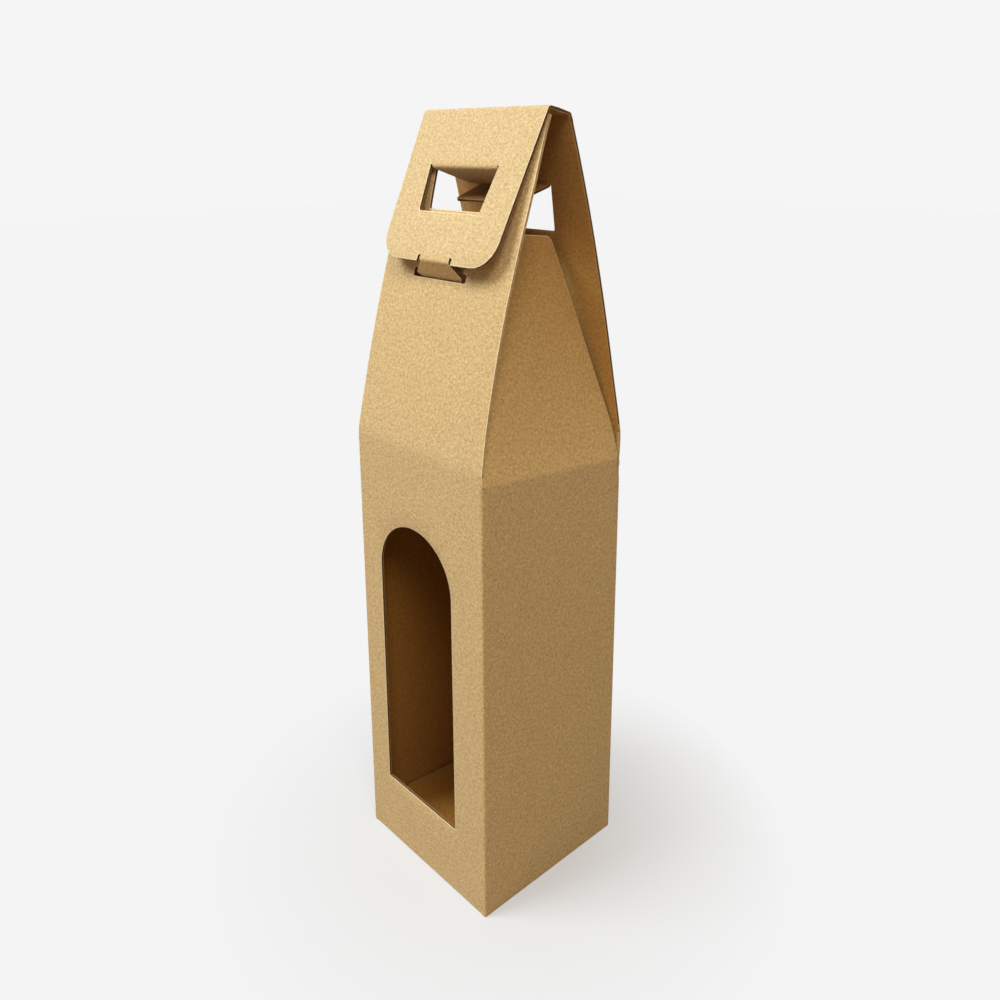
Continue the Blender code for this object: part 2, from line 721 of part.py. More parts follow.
build_tube()
build_roof()
build_gusset("left_gusset_flap", -1)
build_gusset("right_gusset_flap", 1)
build_bottom()
hang_pieces()
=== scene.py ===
import math

import bmesh
import bpy
import numpy as np
from mathutils import Matrix, Vector
from mathutils.geometry import delaunay_2d_cdt


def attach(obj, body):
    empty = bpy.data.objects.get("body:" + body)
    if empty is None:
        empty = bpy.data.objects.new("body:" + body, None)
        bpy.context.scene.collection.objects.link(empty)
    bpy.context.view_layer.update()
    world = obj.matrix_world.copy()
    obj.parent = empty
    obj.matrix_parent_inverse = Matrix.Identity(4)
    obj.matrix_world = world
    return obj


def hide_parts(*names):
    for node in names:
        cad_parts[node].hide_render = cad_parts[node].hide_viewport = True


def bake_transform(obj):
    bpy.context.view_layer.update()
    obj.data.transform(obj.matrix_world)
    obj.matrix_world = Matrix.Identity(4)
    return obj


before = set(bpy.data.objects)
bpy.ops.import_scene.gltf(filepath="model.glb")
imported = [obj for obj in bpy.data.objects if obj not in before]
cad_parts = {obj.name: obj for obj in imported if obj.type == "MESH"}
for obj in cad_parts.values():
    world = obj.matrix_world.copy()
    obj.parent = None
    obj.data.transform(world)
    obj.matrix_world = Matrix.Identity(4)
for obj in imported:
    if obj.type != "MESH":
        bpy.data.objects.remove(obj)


def note_size():
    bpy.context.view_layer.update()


note_size()

MM = 0.001
BOARD = 1.5 * MM
TUBE = 85 * MM
HALF = TUBE / 2
HEIGHT = 352.45 * MM
# Radii of the outer face, at a soft fold and at the tube's corners
FOLD = 1.75 * MM
TUBE_FOLD = 1.0 * MM


# Materials

def new_material(name):
    made = bpy.data.materials.new(name)
    made.use_nodes = True
    made.node_tree.nodes.clear()
    return made


class Nodes:
    """Short names for building a node tree."""

    def __init__(self, owner):
        self.tree = owner.node_tree

    def add(self, kind, **values):
        node = self.tree.nodes.new(kind)
        for key, value in values.items():
            setattr(node, key, value)
        return node

    def link(self, out, into):
        self.tree.links.new(out, into)

    def put(self, value, socket):
        if isinstance(value, bpy.types.NodeSocket):
            self.link(value, socket)
        else:
            socket.default_value = value

    def math(self, operation, a, b=0.0):
        node = self.add("ShaderNodeMath", operation=operation)
        self.put(a, node.inputs[0])
        self.put(b, node.inputs[1])
        return node.outputs[0]

    def times(self, a, b):
        return self.math("MULTIPLY", a, b)

    def scaled(self, vector, factors=(1, 1, 1), shift=(0, 0, 0)):
        node = self.add("ShaderNodeMapping")
        self.put(vector, node.inputs["Vector"])
        node.inputs["Scale"].default_value = factors
        node.inputs["Location"].default_value = shift
        return node.outputs[0]

    def noise(self, vector, scale, detail=2.0, roughness=0.5, distortion=0.0):
        node = self.add("ShaderNodeTexNoise")
        self.put(vector, node.inputs["Vector"])
        node.inputs["Scale"].default_value = scale
        node.inputs["Detail"].default_value = detail
        node.inputs["Roughness"].default_value = roughness
        node.inputs["Distortion"].default_value = distortion
        return node.outputs[0]

    def ramp(self, value, low, high, to_low=0.0, to_high=1.0):
        node = self.add("ShaderNodeMapRange")
        node.clamp = True
        self.put(value, node.inputs["Value"])
        node.inputs["From Min"].default_value = low
        node.inputs["From Max"].default_value = high
        node.inputs["To Min"].default_value = to_low
        node.inputs["To Max"].default_value = to_high
        return node.outputs["Result"]

    def mix(self, share, a, b, blend_type="MIX"):
        node = self.add("ShaderNodeMix", data_type="RGBA", blend_type=blend_type)
        self.put(share, node.inputs[0])
        self.put(a, node.inputs[6])
        self.put(b, node.inputs[7])
        return node.outputs[2]

    def combine(self, x, y, z):
        node = self.add("ShaderNodeCombineXYZ")
        self.put(x, node.inputs[0])
        self.put(y, node.inputs[1])
        self.put(z, node.inputs[2])
        return node.outputs[0]

    def diffuse(self, colour):
        node = self.add("ShaderNodeBsdfDiffuse")
        self.put(colour, node.inputs["Color"])
        return node.outputs[0]

    def glow(self, kind, colour, strength):
        node = self.add(kind)
        node.inputs["Color"].default_value = colour
        node.inputs["Strength"].default_value = strength
        return node.outputs[0]

    def mix_shader(self, share, a, b):
        node = self.add("ShaderNodeMixShader")
        self.put(share, node.inputs[0])
        self.link(a, node.inputs[1])
        self.link(b, node.inputs[2])
        return node.outputs[0]

    def finish(self, kind, surface):
        self.link(surface, self.add(kind).inputs["Surface"])


def rgb(red, green, blue):
    """Linear colour of an sRGB one given in 0 to 255."""
    def line(value):
        value = value / 255
        return value / 12.92 if value <= 0.04045 else ((value + 0.055) / 1.055) ** 2.4
    return (line(red), line(green), line(blue), 1)


def flat_coordinates(n):
    """Place on the flat sheet in millimetres, its two parts, and the depth, from 0 outside to 1 inside."""
    node = n.add("ShaderNodeAttribute", attribute_name="flat")
    split = n.add("ShaderNodeSeparateXYZ")
    n.link(node.outputs["Vector"], split.inputs[0])
    place = n.combine(split.outputs[0], split.outputs[1], 0.0)
    return place, split.outputs[0], split.outputs[1], split.outputs[2]


def finish_shader(n, colour, roughness, bump_height, bump_distance):
    shader = n.add("ShaderNodeBsdfPrincipled")
    n.put(colour, shader.inputs["Base Color"])
    n.put(roughness, shader.inputs["Roughness"])
    shader.inputs["Specular IOR Level"].default_value = 0.25
    shader.inputs["Sheen Weight"].default_value = 0.08
    shader.inputs["Sheen Roughness"].default_value = 0.6
    bump = n.add("ShaderNodeBump")
    bump.inputs["Strength"].default_value = 1.0
    bump.inputs["Distance"].default_value = bump_distance
    n.link(bump_height, bump.inputs["Height"])
    n.link(bump.outputs[0], shader.inputs["Normal"])
    n.finish("ShaderNodeOutputMaterial", shader.outputs[0])


def kraft_face(name, tones, shift, rim, painted_light_and_shade=()):
    """Uncoated kraft liner: short pale and dark fibres felted together, paler along each cut, partly the
    pressed rim's own tone and partly a painted highlight.

    tones are the middle, the pale and the dark one. Each entry of the last argument is (none, full,
    factors):
    painted light or shade that grows from nothing to full between those two heights on the sheet, in
    millimetres."""
    base, light, dark = tones
    made = new_material(name)
    n = Nodes(made)
    place, _, up, _ = flat_coordinates(n)
    place = n.scaled(place, shift=shift)
    cloud = n.noise(place, 0.06, 2.0, 0.5)
    mottle = n.noise(place, 0.42, 2.0, 0.6)
    felt = n.noise(n.scaled(place, shift=(11, 3, 0)), 0.85, 3.0, 0.6, 0.6)
    grain = n.noise(n.scaled(place, shift=(2, 29, 0)), 2.3, 2.0, 0.6)
    fibre_a = n.noise(n.scaled(place, (0.30, 1.3, 1.0)), 1.25, 2.0, 0.5, 0.8)
    fibre_b = n.noise(n.scaled(place, (1.25, 0.36, 1.0), (31, 7, 0)), 1.2, 2.0, 0.5, 0.8)
    fibres = n.math("MAXIMUM", n.ramp(fibre_a, 0.54, 0.70), n.ramp(fibre_b, 0.55, 0.72))
    pits = n.ramp(felt, 0.47, 0.30)
    colour = n.mix(n.ramp(felt, 0.34, 0.66), dark, light)
    colour = n.mix(0.32, colour, base)
    colour = n.mix(n.times(fibres, 0.38), colour, light)
    colour = n.mix(n.times(pits, 0.22), colour, dark)
    tone = 1.0
    for pattern, strength in ((mottle, 0.03), (grain, 0.15), (cloud, 0.012)):
        tone = n.math("ADD", tone, n.times(n.ramp(pattern, 0.3, 0.7, -1.0, 1.0), strength))
    colour = n.mix(1.0, colour, n.combine(tone, tone, tone), "MULTIPLY")
    # Painted light and shade, by height on the sheet.
    for none, full, painted_factors in painted_light_and_shade:
        colour = n.mix(n.ramp(up, none, full), colour, n.mix(1.0, colour, painted_factors, "MULTIPLY"))
    # The pale band along each cut is partly the pressed rim's own paler tone and partly a painted highlight.
    pressed = n.ramp(n.add("ShaderNodeAttribute", attribute_name="cut").outputs["Fac"], 0.15, 0.6)
    pressed = n.times(pressed, n.ramp(mottle, 0.3, 0.6, 0.55, 1.0))
    colour = n.mix(n.times(pressed, 0.8), colour, rim)
    height = n.math("ADD", n.times(grain, 0.35), n.times(fibres, 0.3))
    height = n.math("ADD", height, n.times(felt, 0.9))
    rough = n.ramp(mottle, 0.3, 0.7, 0.78, 0.9)
    finish_shader(n, colour, rough, height, 0.00016)
    return made


# Distance between the flutes' crests, in millimetres
FLUTE_PITCH = 3.1


def cut_edge(name, torn=None, shut=False):
    """The die-cut rim of the board: the liners' pale lines, and the crushed flutes in shade between them.

    The flutes are open between the two heights of torn, and hardly show where the rim is pressed shut."""
    made = new_material(name)
    n = Nodes(made)
    place, across, up, depth = flat_coordinates(n)
    wobble = n.times(n.math("SUBTRACT", n.noise(place, 0.3, 2.0), 0.5), 4.5)
    phase = n.times(n.math("ADD", n.math("ADD", up, across), wobble), 2 * math.pi / FLUTE_PITCH)
    wave = n.math("ADD", n.times(n.math("SINE", phase), 0.25), 0.5)
    away = n.math("ABSOLUTE", n.math("SUBTRACT", depth, wave))
    hollow = n.ramp(away, 0.08, 0.24)
    liner = n.math("ABSOLUTE", n.math("SUBTRACT", depth, 0.5))
    open_share = n.ramp(n.noise(place, 0.11, 2.0), 0.40, 0.62, 0.10, 0.55)
    if torn:
        low = n.ramp(up, torn[0] - 3, torn[0] + 2)
        high = n.ramp(up, torn[1] + 3, torn[1] - 2)
        open_share = n.math("MAXIMUM", open_share, n.times(n.times(low, high), 0.95))
    hollow = n.times(hollow, open_share)
    grain = n.noise(n.scaled(place, shift=(3, 9, 0)), 1.6, 2.0, 0.6)
    # The open rim's dark core and its flutes' dark hollows are painted shade; a rim pressed shut keeps a
    # pale core near the face's own tone.
    tones = (rgb(206, 170, 116), rgb(230, 198, 144)) if shut else (rgb(92, 62, 30), rgb(128, 92, 50))
    core = n.mix(n.ramp(grain, 0.3, 0.7), *tones)
    core = n.mix(n.times(hollow, 0.3 if shut else 1.0), core, rgb(44, 26, 10))
    pale = n.mix(n.ramp(grain, 0.3, 0.7), rgb(196, 160, 106), rgb(226, 196, 142))
    colour = n.mix(n.ramp(liner, 0.34, 0.44), core, pale)
    height = n.math("ADD", n.times(hollow, -1.0), n.times(grain, 0.3))
    height = n.math("ADD", height, n.ramp(liner, 0.30, 0.42))
    finish_shader(n, colour, 0.92, height, 0.0003)
    return made


# Middle, pale and dark tone of the liners
KRAFT = (rgb(216, 184, 128), rgb(236, 208, 154), rgb(188, 151, 95))
DEEP_KRAFT = (rgb(176, 128, 66), rgb(194, 146, 82), rgb(150, 104, 48))
SHADED_KRAFT = (rgb(204, 158, 84), rgb(222, 176, 101), rgb(176, 131, 64))
# Painted light: the lid's paler, cooler tones stand in for the light that its upturned face catches.
PAINTED_LIT_KRAFT = (rgb(217, 189, 137), rgb(237, 212, 162), rgb(190, 157, 105))

OUTER = kraft_face("kraft_outer", KRAFT, (0, 0, 0), rgb(248, 227, 182))
INNER = kraft_face("kraft_inner", DEEP_KRAFT, (400, 130, 0), rgb(192, 148, 86))
# The tube's inside is a lit and shaded copy of the inner liner. Its tones are paler than the other inner
# faces', as painted light on the gables' inside. Painted shade darkens it below about 200 mm on the sheet
# (the walls' inside, and the floor pieces, whose sheets stay low), toward the ridge above about 285 mm, and
# along the foot of each sheet below about 11 mm.
TUBE_INNER = kraft_face(
    "kraft_tube_inner", SHADED_KRAFT, (400, 130, 0), rgb(214, 172, 102),
    [(214, 196, (0.62, 0.47, 0.19, 1)), (285, 325, (0.84, 0.76, 0.74, 1)), (11, 4, (0.62, 0.56, 0.5, 1))],
)
# The lid's face carries painted light in its paler tones.
LID_FACE = kraft_face("kraft_lid", PAINTED_LIT_KRAFT, (90, 60, 0), rgb(246, 226, 184))
# Painted light and shade on the gusset's face: brighter above its strip of wall, as painted light on a face
# that leans up, and darker upward from 8 to 98 mm, as painted shade in the recess between the gable panels.
GUSSET_FACE = kraft_face(
    "kraft_gusset", KRAFT, (210, 20, 0), rgb(246, 223, 176),
    [(2.8, 3.8, (1.13, 1.10, 1.01, 1)), (8, 98, (0.70, 0.58, 0.42, 1))],
)
EDGE = cut_edge("kraft_cut_edge")
LID_EDGE = cut_edge("kraft_lid_edge", torn=(12, 34))
SHUT_EDGE = cut_edge("kraft_shut_edge", shut=True)


# Flat outlines, in metres on the unfolded sheet

def arc_corner(before, here, after, radius, steps=6):
    """Points of the arc that rounds the corner here."""
    a = (Vector(before) - Vector(here)).normalized()
    b = (Vector(after) - Vector(here)).normalized()
    half = a.angle(b) / 2
    centre = Vector(here) + (a + b).normalized() * (radius / math.sin(half))
    start = Vector(here) + a * (radius / math.tan(half)) - centre
    end = Vector(here) + b * (radius / math.tan(half)) - centre
    sweep = start.angle_signed(end)
    return [tuple(centre + Matrix.Rotation(-sweep * k / steps, 2) @ start) for k in range(steps + 1)]


def outline(corners):
    """Points of an outline whose corners are (u, v) or (u, v, radius)."""
    made = []
    count = len(corners)
    for index, corner in enumerate(corners):
        if len(corner) == 2 or corner[2] == 0:
            made.append((corner[0], corner[1]))
            continue
        made += arc_corner(corners[index - 1][:2], corner[:2], corners[(index + 1) % count][:2], corner[2])
    return made


def arch(left, right, low, high, steps=32):
    """Outline of a window with a half-round top."""
    radius = (right - left) / 2
    middle = (right + left) / 2
    base = high - radius
    made = [(left, low), (right, low)]
    for k in range(steps + 1):
        turn = math.pi * k / steps
        made.append((middle + radius * math.cos(turn), base + radius * math.sin(turn)))
    return made


def mirror(points):
    """The points on the other side of the middle line, from last to first."""
    return [(-point[0], *point[1:]) for point in reversed(points)]


def symmetric(points):
    """Outline of a piece with its middle at 0, from the points of its right half."""
    return outline(points + mirror(points))


# Shares of a side within which a grid line adds no point, beside its ends and beside the last point
END_SHARE = 1e-3
NEXT_SHARE = 2e-3


def split_at(points, us, vs):
    """The outline with extra points where it crosses the grid's lines, so that it bends with the sheet."""
    made = []
    for p, q in zip(points, points[1:] + points[:1]):
        shares = {0.0}
        for axis, lines in ((0, us), (1, vs)):
            step = q[axis] - p[axis]
            if abs(step) < 1e-9:
                continue
            for line in lines:
                share = (line - p[axis]) / step
                if END_SHARE < share < 1 - END_SHARE:
                    shares.add(share)
        kept = []
        for share in sorted(shares):
            if not kept or share - kept[-1] > NEXT_SHARE:
                kept.append(share)
        made += [(p[0] + (q[0] - p[0]) * s, p[1] + (q[1] - p[1]) * s) for s in kept]
    return made


def inside(points, polygon):
    """Which points lie inside the polygon."""
    x, y = points[:, 0], points[:, 1]
    result = np.zeros(len(points), bool)
    for (x1, y1), (x2, y2) in zip(polygon, polygon[1:] + polygon[:1]):
        if y1 == y2:
            continue
        crosses = (y1 > y) != (y2 > y)
        at = (x2 - x1) * (y - y1) / (y2 - y1) + x1
        result ^= crosses & (x < at)
    return result


def on_board(points, rings):
    """Which points lie inside the first ring and outside the others, which are holes."""
    result = inside(points, rings[0])
    for ring in rings[1:]:
        result &= ~inside(points, ring)
    return result


def far_from(points, polygon, distance):
    """Which points are farther than this from the polygon's line."""
    result = np.ones(len(points), bool)
    for start, end in zip(polygon, polygon[1:] + polygon[:1]):
        a = np.array(start)
        d = np.array(end) - a
        length = d @ d
        if length == 0:
            continue
        share = np.clip(((points - a) @ d) / length, 0, 1)
        gap = np.linalg.norm(points - (a + share[:, None] * d), axis=1)
        result &= gap > distance
    return result


def lines_between(low, high, step, extra=()):
    """Grid lines about a step apart, and the extra ones, with none of the others close beside those."""
    count = max(1, round((high - low) / step))
    made = [low + (high - low) * k / count for k in range(count + 1)]
    extra = [value for value in extra if low < value < high]
    made = [value for value in made if all(abs(value - other) > step * 0.3 for other in extra)]
    return sorted(made + extra)


# Least squared length of a corner's bisector, so that a sharp corner's point doesn't move too far
BLUNT = 0.4


def inset_ring(ring, distance):
    """The ring moved into the board, which lies to the left of its direction."""
    points = np.array(ring)
    step = np.roll(points, -1, axis=0) - points
    step /= np.linalg.norm(step, axis=1)[:, None]
    left = np.stack([-step[:, 1], step[:, 0]], axis=1)
    both = left + np.roll(left, 1, axis=0)
    both /= np.maximum((both * both).sum(axis=1), BLUNT)[:, None] / 2
    return [tuple(p) for p in points + both * distance]


def turned_left(ring, left=True):
    """The ring in the direction that has its own inside on the left, or on the right."""
    area = sum(p[0] * q[1] - q[0] * p[1] for p, q in zip(ring, ring[1:] + ring[:1]))
    return ring if (area > 0) == left else ring[::-1]


def in_boxes(points, boxes):
    """Which points lie in a box of (low u, high u, low v, high v)."""
    u, v = points[:, 0], points[:, 1]
    result = np.zeros(len(points), bool)
    for low_u, high_u, low_v, high_v in boxes:
        result |= (u >= low_u) & (u <= high_u) & (v >= low_v) & (v <= high_v)
    return result


# Boards: flat meshes, folded point by point

# Width of the pressed rim, and the share of the board's thickness that each of its faces gives way
RIM = 0.6 * MM
PRESSED = 0.13
# Distance from a rim within which the grid has no points, and within which two points are one
CLEAR = 1.0 * MM
WELD = 1e-7
# Order of a board's materials
FACE, INSIDE, CUT, SHUT = range(4)
# A seam's box ends this far past it. FAR is beyond every sheet.
NEAR = 0.1 * MM
FAR = 1
LOW_SEAM = (-FAR, FAR, -FAR, NEAR)


def sheet(rings, grid):
    """Flat points and triangles of the board within the rings, and which points lie on a ring."""
    points = []
    edges = []
    for ring in rings + [inset_ring(ring, RIM) for ring in rings]:
        first = len(points)
        points += ring
        edges += [(first + k, first + (k + 1) % len(ring)) for k in range(len(ring))]
    rim_count = sum(len(ring) for ring in rings)
    points += [tuple(p) for p in grid]
    placed, _, faces, origins, _, _ = delaunay_2d_cdt([Vector(p) for p in points], edges, [], 0, WELD)
    flat = np.array([tuple(p) for p in placed])
    on_rim = np.array([any(index < rim_count for index in sources) for sources in origins])
    faces = np.array([f[:] for f in faces])
    faces = faces[on_board(flat[faces].mean(axis=1), rings)]
    a, b, c = flat[faces[:, 0]], flat[faces[:, 1]], flat[faces[:, 2]]
    area = (b[:, 0] - a[:, 0]) * (c[:, 1] - a[:, 1]) - (b[:, 1] - a[:, 1]) * (c[:, 0] - a[:, 0])
    faces[area < 0] = faces[area < 0][:, ::-1]
    used = np.unique(faces)
    where = -np.ones(len(flat), int)
    where[used] = np.arange(len(used))
    return flat[used], where[faces], on_rim[used]


def open_sides(faces):
    """The edges that only one of the triangles has."""
    seen = dict.fromkeys((tri[k], tri[(k + 1) % 3]) for tri in faces for k in range(3))
    return [(i, j) for (i, j) in seen if (j, i) not in seen]


def note_points(mesh, flat, cut):
    """Write each point's place on the sheet, its depth, and whether it lies on a cut."""
    count = len(flat)
    values = np.zeros((2 * count, 3))
    values[:, :2] = np.tile(flat, (2, 1)) / MM
    values[count:, 2] = 1
    mesh.attributes.new("flat", "FLOAT_VECTOR", "POINT").data.foreach_set("vector", values.ravel())
    mesh.attributes.new("cut", "FLOAT", "POINT").data.foreach_set("value", np.tile(cut.astype(float), 2))


def sharpen(mesh):
    """Sharp edges between a board's faces and its rims, and normals that point outward."""
    shaped = bmesh.new()
    shaped.from_mesh(mesh)
    for line in shaped.edges:
        line.smooth = len({min(f.material_index, CUT) for f in line.link_faces}) < 2
    if shaped.calc_volume(signed=True) < 0:
        bmesh.ops.reverse_faces(shaped, faces=shaped.faces)
    shaped.to_mesh(mesh)
    shaped.free()


def board(
    name, outer, holes, us, vs, fold, body=None, inner=INNER, face=OUTER, edge=EDGE, seams=(), shut=(),
):
    """A board cut to an outline, meshed on grid lines us and vs, and folded by fold(u, v, depth).

    Its rims are pressed in a little, except at the seams. Seams, and rims that are pressed shut, are
    given as boxes on the sheet."""
    rings = [turned_left(outer), *[turned_left(hole, False) for hole in holes]]
    rings = [split_at(ring, us, vs) for ring in rings]
    grid = np.array([(u, v) for u in us for v in vs])
    keep = on_board(grid, rings)
    for ring in rings:
        keep &= far_from(grid, ring, CLEAR)
    flat, faces, on_rim = sheet(rings, grid[keep])
    cut = on_rim & ~in_boxes(flat, seams)
    closed = in_boxes(flat, shut)
    rim = open_sides(faces)

    count = len(flat)
    pressed = np.where(cut, PRESSED, 0.0)
    verts = np.concatenate([fold(flat[:, 0], flat[:, 1], depth) for depth in (pressed, 1.0 - pressed)])
    outside = [tuple(f) for f in faces]
    inward = [tuple(f[::-1] + count) for f in faces]
    sides = [(j, i, i + count, j + count) for (i, j) in rim]
    mesh = bpy.data.meshes.new(name)
    mesh.from_pydata([tuple(v) for v in verts], [], outside + inward + sides)
    for material in (face, inner, edge, SHUT_EDGE):
        mesh.materials.append(material)
    kinds = [FACE] * len(outside) + [INSIDE] * len(inward)
    kinds += [SHUT if closed[i] and closed[j] else CUT for (i, j) in rim]
    mesh.polygons.foreach_set("material_index", kinds)
    mesh.polygons.foreach_set("use_smooth", [True] * len(outside) * 2 + [False] * len(sides))
    note_points(mesh, flat, cut)
    sharpen(mesh)
    made = bpy.data.objects.new(name, mesh)
    bpy.context.scene.collection.objects.link(made)
    if body:
        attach(made, body)
    return made


def stand_for(made, *nodes):
    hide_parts(*nodes)


# Side views: a line in the y-z plane that turns smoothly at each crease

# Distance between the points of a line, in metres
SIDE_STEP = 0.0001


class Side:
    """The outer face's line from start, which sets out at angle and bends at its turns and bows.

    A turn is (its middle along the line, radians, half its width), and a bow is (from, to, radians)."""

    def __init__(self, start, angle, turns, length, bows=()):
        count = int(length / SIDE_STEP) + 2
        along = np.arange(count) * SIDE_STEP
        heading = np.full(count, angle)
        for place, turn, half in turns:
            heading += turn * np.clip((along - (place - half)) / (2 * half), 0, 1)
        for low, high, turn in bows:
            heading += turn * np.clip((along - low) / (high - low), 0, 1)
        between = heading[:-1] / 2 + heading[1:] / 2
        self.turns = turns
        self.along = along
        self.heading = heading
        self.y = np.concatenate([[0], np.cumsum(np.cos(between) * SIDE_STEP)]) + start[0]
        self.z = np.concatenate([[0], np.cumsum(np.sin(between) * SIDE_STEP)]) + start[1]

    def at(self, along, depth, inward):
        """Points this far along and this deep in the board, which lies to the left where inward is +1."""
        heading = np.interp(along, self.along, self.heading)
        y = np.interp(along, self.along, self.y) + np.where(along < 0, along * np.cos(heading), 0)
        z = np.interp(along, self.along, self.z) + np.where(along < 0, along * np.sin(heading), 0)
        y = y - inward * np.sin(heading) * depth * BOARD
        z = z + inward * np.cos(heading) * depth * BOARD
        return y, z

    def lines(self, low, high, step):
        """Grid lines along the side view, close together where it turns."""
        close = []
        for place, _, half in self.turns:
            close += [place + half * k / 4 for k in range(-4, 5)]
            close += [place - half - 0.6 * MM, place + half + 0.6 * MM]
        return lines_between(low, high, step, sorted(close))

    def outer_point(self, place):
        """The outer face's point at this distance along, and its heading there."""
        y, z = self.at(np.array([place]), 0.0, 1.0)
        return (float(y[0]), float(z[0])), float(np.interp(place, self.along, self.heading))


def folded(start, angle, legs, turns, radius=FOLD):
    """A line of straight legs whose corners are rounded to the fold's radius. Returns it and its length."""
    places = []
    at = 0.0
    before = 0.0
    for leg, turn in zip(legs, turns):
        tangent = radius * math.tan(abs(turn) / 2)
        half = radius * abs(turn) / 2
        at += leg - before - tangent
        places.append((at + half, turn, half))
        at += 2 * half
        before = tangent
    length = at + legs[-1] - before
    return Side(start, angle, places, length), length


# Plan of the tube's outer face, from the glue flap's free end round to the back panel's cut edge

# The glue flap's outer face and free end, its width to the corner, and the back panel's cut edge
GLUE_FACE = 40.7 * MM
GLUE_END = -25 * MM
GLUE_WIDTH = 17.5 * MM
BACK_END = 42.2 * MM
plan, PLAN_LENGTH = folded(
    (GLUE_END, GLUE_FACE), math.pi, [GLUE_WIDTH, GLUE_FACE + HALF, TUBE, TUBE, HALF + BACK_END],
    [math.pi / 2] * 4, TUBE_FOLD,
)
CORNERS = [place for place, _, _ in plan.turns]
FRONT_MIDDLE = (CORNERS[1] + CORNERS[2]) / 2
RIGHT_MIDDLE = (CORNERS[2] + CORNERS[3]) / 2
BACK_MIDDLE = CORNERS[3] + (CORNERS[3] - CORNERS[2]) / 2
LEFT_MIDDLE = CORNERS[1] - (CORNERS[2] - CORNERS[1]) / 2

# Side views of the walls and the gable panels above them, by height on the sheet

SHOULDER = 211 * MM
# Lengths from the shoulder to the top creases, of the stretch where places are looked up, and of a view
FRONT_REACH = 144.24 * MM
BACK_REACH = 142.47 * MM
GABLE = 140 * MM
WALL_VIEW = 360 * MM
front_view = Side(
    (-HALF, 0), math.pi / 2, [(SHOULDER, -math.radians(10.01), 3.2 * MM)], WALL_VIEW,
    [(SHOULDER, SHOULDER + FRONT_REACH, -math.radians(13.0))],
)
back_view = Side(
    (HALF, 0), math.pi / 2, [(SHOULDER, math.radians(9.74), 2.6 * MM)], WALL_VIEW,
    [(SHOULDER, SHOULDER + BACK_REACH, math.radians(7.0))],
)


def reach_of(view, inward, inner_height):
    """Height on the sheet at which the view's inner face is at this height."""
    places = np.linspace(SHOULDER, SHOULDER + GABLE, 3000)
    _, z = view.at(places, 1.0, inward)
    return float(np.interp(inner_height, z, places))


# The side walls' creases fall from front to back: their height in the middle, and the fall over a run
SIDE_CREASE = 202 * MM
CREASE_FALL = 8
CREASE_RUN = 85


def crease_height(y):
    return SIDE_CREASE - y * CREASE_FALL / CREASE_RUN


# Heights above which the front's and the back's corners are let go, and the rise over which it happens
FRONT_FREE = 205 * MM
BACK_FREE = 198 * MM
FREE_RISE = 7 * MM
# The walls begin this far past the glue flap's corner.
GLUE_CLEAR = 3 * MM


def wall_fold(u, v, depth):
    """The tube and both gable panels. Above the side creases the corners are let go and lie flat."""
    heading = np.interp(u, plan.along, plan.heading)
    x = np.interp(u, plan.along, plan.y)
    y = np.interp(u, plan.along, plan.z)
    front = (u > CORNERS[1]) & (u < CORNERS[2])
    back = u > CORNERS[3]
    free = np.clip((v - np.where(front, FRONT_FREE, BACK_FREE)) / FREE_RISE, 0, 1)
    free = free * free * (3 - 2 * free) * (front | back)
    middle = np.where(front, FRONT_MIDDLE, BACK_MIDDLE)
    side = np.where(front, 1.0, -1.0)
    x = x + ((u - middle) * side - x) * free
    y = y + (-HALF * side - y) * free
    flat_heading = np.where(front, 2 * math.pi, 3 * math.pi)
    heading = heading + (flat_heading - heading) * free
    moved = np.zeros_like(u)
    height = v.copy()
    lean = np.zeros_like(u)
    for view, mask, sign in ((front_view, front, 1.0), (back_view, back, -1.0)):
        moved = np.where(mask, (np.interp(v, view.along, view.y) + HALF * sign) * sign, moved)
        height = np.where(mask, np.interp(v, view.along, view.z), height)
        lean = np.where(mask, np.abs(math.pi / 2 - np.interp(v, view.along, view.heading)), lean)
    nx, ny = -np.sin(heading), np.cos(heading)
    inset = moved + depth * BOARD * np.cos(lean)
    px, py = x + nx * inset, y + ny * inset
    # The creases are tighter than the board is thick, so its inner face meets itself along the corner.
    deep = (v < SHOULDER) & (u > CORNERS[0] + GLUE_CLEAR) & (depth > 0.5)
    room = HALF - depth * BOARD
    px = np.where(deep, np.clip(px, -room, room), px)
    py = np.where(deep, np.clip(py, -room, room), py)
    return np.stack([px, py, height - depth * BOARD * np.sin(lean)], axis=1)


# Handle holes and their flaps

# Half widths of a handle hole above and below, and its height
HOLE_TOP = 21.5 * MM
HOLE_LOW = 19.0 * MM
HOLE_HIGH = 21.0 * MM
# The flap's sheet starts this far above the hole, and each of its sides is this far inside the hole's.
FLAP_ROOT = 1.8 * MM
FLAP_SIDE = 0.8 * MM
FLAP_LENGTH = HOLE_HIGH - FLAP_SIDE


def handle_hole(middle, top, down=-1):
    """The hole's outline with the flap's root above it taken out too. down is -1 where v runs up."""
    root = HOLE_TOP - FLAP_SIDE
    rise = top - down * FLAP_ROOT
    low = top + down * HOLE_HIGH
    return outline([
        (middle - HOLE_TOP, top), (middle - root, top), (middle - root, rise), (middle + root, rise),
        (middle + root, top), (middle + HOLE_TOP, top), (middle + HOLE_LOW, low, 1.5 * MM),
        (middle - HOLE_LOW, low, 1.5 * MM),
    ])


def side_fold(view, inward):
    """Fold for a piece that only bends in the side view."""
    def fold(u, v, depth):
        y, z = view.at(v, depth, inward)
        return np.stack([u, y, z], axis=1)
    return fold


def blend_over_fold(made, view, inward, parent, child, margin=0.0):
    """Bake the piece's placement into its mesh."""
    place, _, half = view.turns[0]
    y, z = view.at(np.array([place - half - margin, place + half + margin]), 0.5, inward)
    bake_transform(made)


